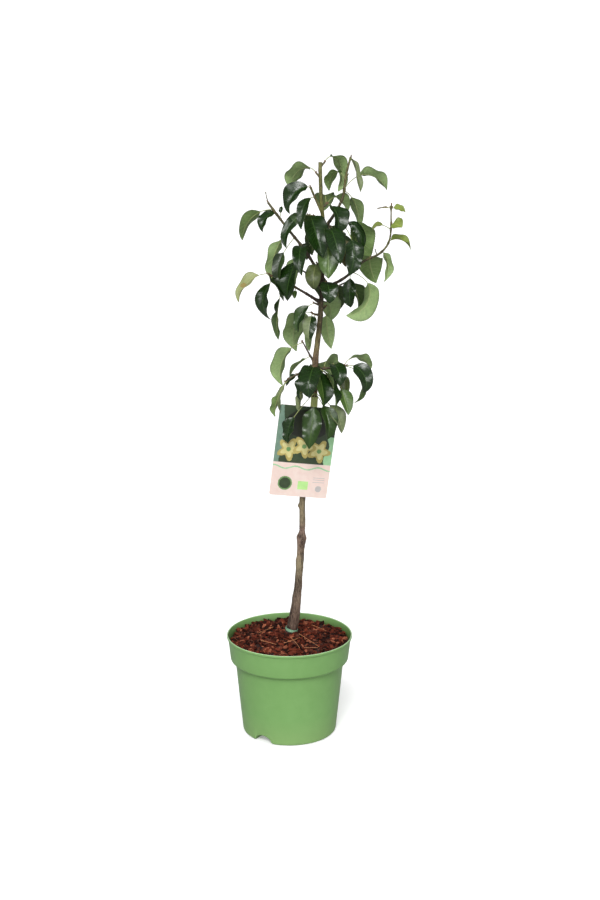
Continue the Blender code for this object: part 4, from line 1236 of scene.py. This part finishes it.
bough_shapes, stem_shapes, bud_shapes = [], [], []
for seed, name in enumerate(LIMBS):
    points, bare, radii = limb_line(name)
    share = np.linspace(0, 1, len(points))
    level = level_at(LIMBS[name][1])
    joints = [bare + (1 - bare) * leaf[0] for leaf in LEAVES[name]]
    radii = swollen(radii, share, joints, JOINT_SWELL)
    leafy = share >= bare - 1.5 / len(points)
    bare_part = share <= bare + 0.5 / len(points)
    if bare:
        scars = np.linspace(0.25, 0.8, 3) * bare
        scarred = swollen(radii, share, scars, SCAR_SWELL)
        shape = tube(points[bare_part], scarred[bare_part], 14, level)
        bough_shapes.append((barky(shape, BOUGH_ROUGH, seed), 0, (0, 0)))
    stem = barky(tube(points[leafy], radii[leafy], 12, level), STEM_ROUGH, seed)
    stem_shapes.append((stem, int(name in YOUNG_LIMBS), (0, 0)))
    for leaf in LEAVES[name]:
        bud_shapes.append(bud_at(point_on(points, bare + (1 - bare) * leaf[0]), leaf[1], leaf[3] + 25))
    bud_shapes.append(bud_at(points[-1], LIMBS[name][1], LIMBS[name][2][-1]))
for name, at, heading, rises, length in TWIGLETS:
    points, _, _ = limb_line(name)
    line = path(point_on(points, at), heading, rises, length, 14)
    radii = np.linspace(*TWIG_RADII, 15) + TWIG_KNOB * (np.linspace(0, 1, 15) > 0.85)
    stem_shapes.append((tube(line, radii, 8, level_at(heading)), 0, (0, 0)))

BOUGH_TONES = (
    (0.64, (84, 68, 48)),
    (1.00, (112, 106, 64)),
    (0.76, (70, 52, 38)),
    (0.84, (76, 62, 42)),
    (0.92, (100, 92, 56)),
)
STEM_TONES = (
    (0.60, (96, 84, 54)),
    (1.00, (116, 112, 66)),
    (0.80, (84, 70, 46)),
    (0.92, (90, 74, 54)),
)
YOUNG_TONES = (
    (0.60, (96, 84, 54)),
    (1.00, (116, 112, 66)),
    (0.82, (88, 78, 48)),
    (0.87, (112, 112, 54)),
    (0.93, (134, 146, 70)),
)
bough_bark = bark_finish("bough_bark", BOUGH_TONES, fibre=900, bump=0.0003, roughness=0.6)
stem_bark = bark_finish("brown_stem", STEM_TONES, fibre=900, bump=0.0002, roughness=0.55)
young_bark = bark_finish("young_stem", YOUNG_TONES, fibre=900, bump=0.0002, roughness=0.5)
bud_scales = grained(
    "bud_scales", (84, 54, 36), (128, 98, 62), roughness=0.6, scale=1200, bump=0.0002, stretch=0.4
)
boughs = add_piece("bough_bark", bough_shapes, [bough_bark], 60)
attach(boughs, "root")
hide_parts(*[f"bough_{name}" for name, limb in LIMBS.items() if limb[3]])
stems = add_piece("leafy_stems", stem_shapes, [stem_bark, young_bark], 60)
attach(stems, "root")
buds = add_piece("buds", bud_shapes, [bud_scales], 60)
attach(buds, "root")


# Leaves: egg-shaped pear leaves with a drawn-out tip and a finely toothed edge, folded along the rib
# and arching down from thin yellow-green stalks. Dark and glossy above, pale and matt below.
# Some leaves are painted in a shaded tone, and parts of others are painted lighter or darker as light and
# shade
STALK_BEND = 0.25
# The stalk's radii at its foot, just above it, near the blade, under the rib's start and at its end
STALK_RADII = (0.00112, 0.0007, 0.000665, 0.00063, 0.00014)
BLADE_RISE_POWER = 0.7
BLADE_ROWS = 60
BLADE_COLUMNS = 13
BLADE_WIDTH = (0.51, 0.57)
BLADE_FOLD = (12, 32)
BLADE_ROLL = (-10, 10)
BLADE_TURN = (-14, 14)
BLADE_END_WIDTH = 0.0016
BLADE_LEAST = 0.0001
# The blade's drawn-in foot, and its tip: where it starts, over what share, and how much narrower it gets
BLADE_FOOT = 0.14
BLADE_TIP = (0.75, 0.22, 0.3)
BLADE_HALF_THICK = 0.0002
BLADE_DIP = 0.00004
BLADE_CURL = 15
BLADE_CURL_SPAN = 0.4
BLADE_FOLD_EASE = 0.03
RIB_SHOWN = 0.85
RIB_DROP = 0.0004
# How often a blade's edge waves, where in a wave it starts, and how high it waves as a share of length
BLADE_WAVES = ((1.0, 2.2), (0, 1), (0.03, 0.06))
TOOTH = 0.0004
TOOTHED_FROM = 0.3
VEIN_PAIRS = 9
VEIN_SLANT = 0.17
# Where side veins, the rib and the rim fade, and how plain side veins are near the rib and the edge
VEIN_EDGE = (0.80, 1.0)
VEIN_COVER = (0.6, 0.1)
RIB_EDGE = (0.03, 0.10)
RIM_EDGE = (0.84, 1.0)
LEAF_PIECES = {
    "leaves_top": (
        "right_leader", "right_short", "twig_left", "tip_right", "tip_left", "front_left", "mid_right",
        "front_right",
    ),
    "leaves_left": ("left_long", "left_lower", "mid_left", "knot_left", "spur_left"),
    "leaves_right": ("right_long", "knot_right", "spur_right", "lower_right"),
    "leaves_low": ("lower_left", "twig_low", "low_front", "label_front"),
    "leaves_back": ("back_high", "back_left", "back_right", "back_low"),
}
# Shares of a blade's colour in its dark and light mottling and on its rim
BLADE_SHADES = (0.82, 1.16, 0.55)
# Tones: upper side, its veins, its roughness; under side, its veins
TONES = {
    "deep": ((24, 48, 12), (44, 70, 26), 0.26, (110, 134, 76), (142, 160, 104)),
    # The next tone is painted shade: a darker copy of the deep tone, darkest on its under side, for leaves
    # that lie in shade
    "painted_shade": ((28, 46, 14), (44, 64, 24), 0.30, (54, 76, 30), (78, 96, 46)),
    "mid": ((76, 104, 46), (112, 136, 74), 0.32, (122, 146, 86), (150, 166, 108)),
    "matt": ((42, 68, 20), (62, 88, 34), 0.30, (116, 142, 82), (146, 166, 108)),
    "silver": ((48, 74, 26), (70, 96, 42), 0.32, (139, 164, 106), (160, 178, 126)),
    # The next tone is a pale green, and it also stands as painted light on the lit half of a leaf
    "pale_green": ((116, 130, 88), (142, 152, 108), 0.45, (126, 138, 98), (150, 160, 116)),
    "young": ((124, 142, 60), (150, 164, 80), 0.4, (134, 148, 72), (156, 168, 88)),
    "reddish": ((132, 104, 66), (160, 130, 86), 0.4, (140, 116, 76), (164, 140, 96)),
    "yellowed": ((150, 158, 104), (172, 176, 124), 0.45, (154, 160, 110), (174, 178, 128)),
    "olive": ((76, 88, 46), (104, 112, 66), 0.4, (104, 110, 70), (134, 138, 92)),
    "browned": ((84, 80, 46), (122, 112, 70), 0.4, (112, 108, 70), (142, 134, 92)),
}
SCORCH = ((150, 134, 78), (168, 152, 94))
SCORCH_SPOT = (0.52, 0.09, 0.4, 0.25)
UNDER_ROUGHNESS = 0.6
# Depth of a side's veins, below zero where they are sunk, depth of its grit, and its gloss
UPPER_SIDE = (-0.00012, 0.00003, 0.4)
UNDER_SIDE = (0.0005, 0.0003, 0.3)
SCORCHED = (-0.0004, 0.0003, 0.3)


def leaf_vein_group():
    """A leaf's veins on its map, where 0.5 across is the rib, as a mask and a height, and its edge.

    Side veins lie where pairs * (along - slant * off the rib) is a whole number, thinning to the edge.
    """
    group = bpy.data.node_groups.new("leaf_veins", "ShaderNodeTree")
    for name in ("Mask", "Height", "Edge"):
        group.interface.new_socket(name, in_out="OUTPUT", socket_type="NodeSocketFloat")

    def work(operation, first, second=0.0):
        return add_node(group, "ShaderNodeMath", {0: first, 1: second}, operation=operation).outputs[0]

    def ease(value, start, end, low, high):
        return fade(group, value, start, end, low, high, "SMOOTHSTEP")

    place = add_node(group, "ShaderNodeUVMap", {}, uv_map="shape").outputs[0]
    split = add_node(group, "ShaderNodeSeparateXYZ", {0: place}).outputs
    off_rib = work("ABSOLUTE", work("SUBTRACT", work("MULTIPLY", split["X"], 2.0), 1.0))
    run = work("SUBTRACT", split["Y"], work("MULTIPLY", off_rib, VEIN_SLANT))
    cycle = work("FRACT", work("MULTIPLY", run, float(VEIN_PAIRS)))
    from_vein = work("MULTIPLY", work("ABSOLUTE", work("SUBTRACT", cycle, 0.5)), 2.0)
    side_vein = ease(from_vein, *VEIN_EDGE, 0, 1)
    side_vein = work("MULTIPLY", side_vein, ease(off_rib, 0.2, 1, *VEIN_COVER))
    rib = ease(off_rib, *RIB_EDGE, 1, 0)
    mask = work("MAXIMUM", rib, side_vein)
    edge = ease(off_rib, *RIM_EDGE, 0, 1)
    ends = group.nodes.new("NodeGroupOutput").inputs
    group.links.new(mask, ends["Mask"])
    group.links.new(mask, ends["Height"])
    group.links.new(edge, ends["Edge"])
    return group


leaf_veins = leaf_vein_group()


def leaf_finish(name, blade, vein, roughness, relief, grit_depth, gloss):
    """A leaf's face: blade colour mottled a little, paler veins, and their relief in metres."""
    made, tree, shader = new_finish(name, roughness, Specular_IOR_Level=gloss)
    veins = add_node(tree, "ShaderNodeGroup", {}, node_tree=leaf_veins).outputs
    grain = grain_in(tree, 240)
    dark, light, rim = ((*[share * channel for channel in plain(*blade)[:3]], 1) for share in BLADE_SHADES)
    color = blend(tree, grain["Mask"], dark, light)
    color = blend(tree, veins["Mask"], color, plain(*vein))
    color = blend(tree, veins["Edge"], color, rim)
    grit = add_node(tree, "ShaderNodeBump", {"Height": grain["Height"], "Distance": grit_depth})
    pressed = {"Height": veins["Height"], "Distance": abs(relief), "Normal": grit.outputs[0]}
    pressed = add_node(tree, "ShaderNodeBump", pressed, invert=relief < 0)
    tree.links.new(color, shader.inputs["Base Color"])
    tree.links.new(pressed.outputs[0], shader.inputs["Normal"])
    return made


def blade_middle(rib, heading, turn, width, fold, roll, form, waves):
    """The blade's middle surface, with its upward direction.

    Half its width is width / 2 * sin(pi * share^0.8)^0.7, drawn in at both ends, with a tooth on every
    other row. It is folded up along the rib and rolled about it, more so along a twisted leaf.
    Its edge waves by height * off rib² * sin(2 pi (count * share + start)), it dips along its side
    veins, and a sickle-shaped leaf sways aside by sway * share² and bow * sin(pi * share).
    """
    share = np.linspace(0, 1, len(rib))[:, None]
    across = np.linspace(1, -1, BLADE_COLUMNS)[None]
    full = np.sin(np.pi * share**0.8) ** 0.7 * np.clip(share / BLADE_FOOT, 0, 1) ** 0.45
    tip_from, tip_span, tip_loss = BLADE_TIP
    tip = 1 - tip_loss * np.clip((share - tip_from) / tip_span, 0, 1) ** 1.5
    half = form.get("widen", 1) * width / 2 * full * tip + BLADE_END_WIDTH / 2 * (1 - share) + BLADE_LEAST
    tooth = TOOTH * (np.arange(len(rib)) % 2)[:, None] * (full > TOOTHED_FROM)
    half = half + tooth * (np.abs(across) == 1)
    way = np.radians(heading + turn * share)
    level = np.stack([-np.sin(way), np.cos(way), 0 * way], -1)
    length = np.linalg.norm(np.diff(rib, axis=0), axis=1).sum()
    aside = form.get("sway", 0) * share**2 + form.get("bow", 0) * np.sin(np.pi * share)
    rib = rib[:, None] + length * aside[..., None] * level
    along = np.gradient(rib, axis=0)
    along = along / np.linalg.norm(along, axis=-1, keepdims=True)
    up = np.cross(along, level)
    up /= np.linalg.norm(up, axis=-1, keepdims=True)
    level = np.cross(up, along)
    roll = (math.radians(roll) + math.radians(form.get("twist", 0)) * (share - 0.5))[..., None]
    side = level * np.cos(roll) + up * np.sin(roll)
    up = up * np.cos(roll) - level * np.sin(roll)
    lean = math.radians(fold)
    soft = np.sqrt(across**2 + BLADE_FOLD_EASE) - math.sqrt(BLADE_FOLD_EASE)
    count, start, high = waves
    flip = np.where(across > 0, 0.3, 0)
    wave = high * across**2 * np.sin(2 * np.pi * (count * share + start + flip)) * full
    dip = BLADE_DIP * np.cos(2 * np.pi * VEIN_PAIRS * (share - VEIN_SLANT * np.abs(across))) * full
    out = half * across * math.cos(lean)
    lift = half * soft * math.sin(lean) + wave - dip
    return rib + out[..., None] * side + lift[..., None] * up, rib[:, 0], up[:, 0]


def grow_leaf(foot, leaf, width, fold, more_roll, turn, extra):
    """A leaf's stalk, which runs on under the blade as its rib, and its blade as a closed thin shell.

    The rib's slope passes from the stalk's to the last rise, and curls further under towards the tip.
    """
    _, heading, stalk_length, rise, blade_length, last_rise, roll, tone = leaf[:8]
    form = leaf[8] if len(leaf) > 8 else {}
    join_rise = rise + (last_rise - rise) * STALK_BEND
    stalk = path(foot, heading, (rise, join_rise), stalk_length, 14)
    share = np.linspace(0, 1, 13)
    curl = form.get("curl", BLADE_CURL) * np.clip((share - 1) / BLADE_CURL_SPAN + 1, 0, 1) ** 1.5
    rises = join_rise + (last_rise - join_rise) * share - curl
    rib = path(stalk[-1], heading, rises, blade_length, BLADE_ROWS - 1, BLADE_RISE_POWER, turn)
    count, begin, high = (extra.uniform(*span) for span in BLADE_WAVES)
    waves = (count, begin, high * blade_length * width / 0.5)
    wide = width * blade_length
    middle, rib, up = blade_middle(rib, heading, turn, wide, fold, roll + more_roll, form, waves)
    normal = np.cross(np.gradient(middle, axis=1), np.gradient(middle, axis=0))
    normal /= np.linalg.norm(normal, axis=-1, keepdims=True)
    top = middle + BLADE_HALF_THICK * normal
    bottom = middle[:, ::-1] - BLADE_HALF_THICK * normal[:, ::-1]
    grid = closed(np.concatenate([top, bottom], 1))

    across = np.linspace(1, 0, BLADE_COLUMNS)
    across = np.concatenate([across, across[::-1]])
    along = np.concatenate([[0], np.linspace(0, 1, BLADE_ROWS), [1]])
    place = np.stack(np.meshgrid(across, along), -1)
    upper = np.arange(2 * BLADE_COLUMNS) < BLADE_COLUMNS - 1
    looks = np.full((BLADE_ROWS + 1, 2 * BLADE_COLUMNS), 2 * list(TONES).index(tone) + 1)
    looks[:, upper] -= 1
    middle_across = (across + np.roll(across, -1)) / 2
    # Painted light and shade: part of the blade takes another tone, as a lit half, a shaded half or a lit top
    if "other" in form:
        left, right, low, high = form["light_and_shade_zone"]
        light_and_shade_zone = (middle_across >= left) & (middle_across <= right) & (along[1:, None] >= low)
        light_and_shade_zone &= along[1:, None] <= high
        other = 2 * list(TONES).index(form["other"]) + np.where(upper, 0, 1)
        looks = np.where(light_and_shade_zone, other, looks)
    if "scorch" in form:
        spot_along, half_long, spot_across, half_wide = SCORCH_SPOT
        spot = np.hypot((along[1:, None] - spot_along) / half_long, (middle_across - spot_across) / half_wide)
        looks[spot + 0.3 * np.sin(37 * along[1:, None] + 11 * middle_across) < 1] = 2 * len(TONES)

    shown = round(RIB_SHOWN * BLADE_ROWS)
    under = rib[:shown] - RIB_DROP * up[:shown]
    line = np.concatenate([stalk[:-1], under[1:]])
    radii = np.interp(np.arange(len(line)), (0, 2, 10, 16, len(line) - 1), STALK_RADII)
    return (tube(line, radii, 7, level_at(heading)), 0, (0, 0)), (grid, looks, place)


leaf_finishes = []
for tone, (blade, vein, roughness, under, under_vein) in TONES.items():
    leaf_finishes += [
        leaf_finish(f"leaf_{tone}_upper", blade, vein, roughness, *UPPER_SIDE),
        leaf_finish(f"leaf_{tone}_under", under, under_vein, UNDER_ROUGHNESS, *UNDER_SIDE),
    ]
leaf_finishes.append(leaf_finish("leaf_scorched", *SCORCH, UNDER_ROUGHNESS, *SCORCHED))

stalk_shapes = []
leaf_shapes = {}
for seed, name in enumerate(LIMBS):
    points, bare, _ = limb_line(name)
    rng = np.random.default_rng(seed)
    extra = np.random.default_rng(100 + seed)
    leaf_shapes[name] = []
    for leaf in LEAVES[name]:
        draw = [rng.uniform(*span) for span in (BLADE_WIDTH, BLADE_FOLD, BLADE_ROLL, BLADE_TURN)]
        foot = point_on(points, bare + (1 - bare) * leaf[0])
        stalk, blade = grow_leaf(foot, leaf, *draw, extra)
        stalk_shapes.append(stalk)
        leaf_shapes[name].append(blade)

stalk_finish = grained(
    "leaf_stalk", (134, 146, 84), (160, 168, 106), roughness=0.45, scale=700, bump=0.0001, stretch=0.3
)
stalks = add_piece("leaf_stalks", stalk_shapes, [stalk_finish], 60)
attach(stalks, "root")
for piece_name, names in LEAF_PIECES.items():
    shapes = [shape for name in names for shape in leaf_shapes[name]]
    leaves = add_piece(piece_name, shapes, leaf_finishes, 60)
    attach(leaves, "root")
    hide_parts(*[f"leaves_{name}" for name in names])
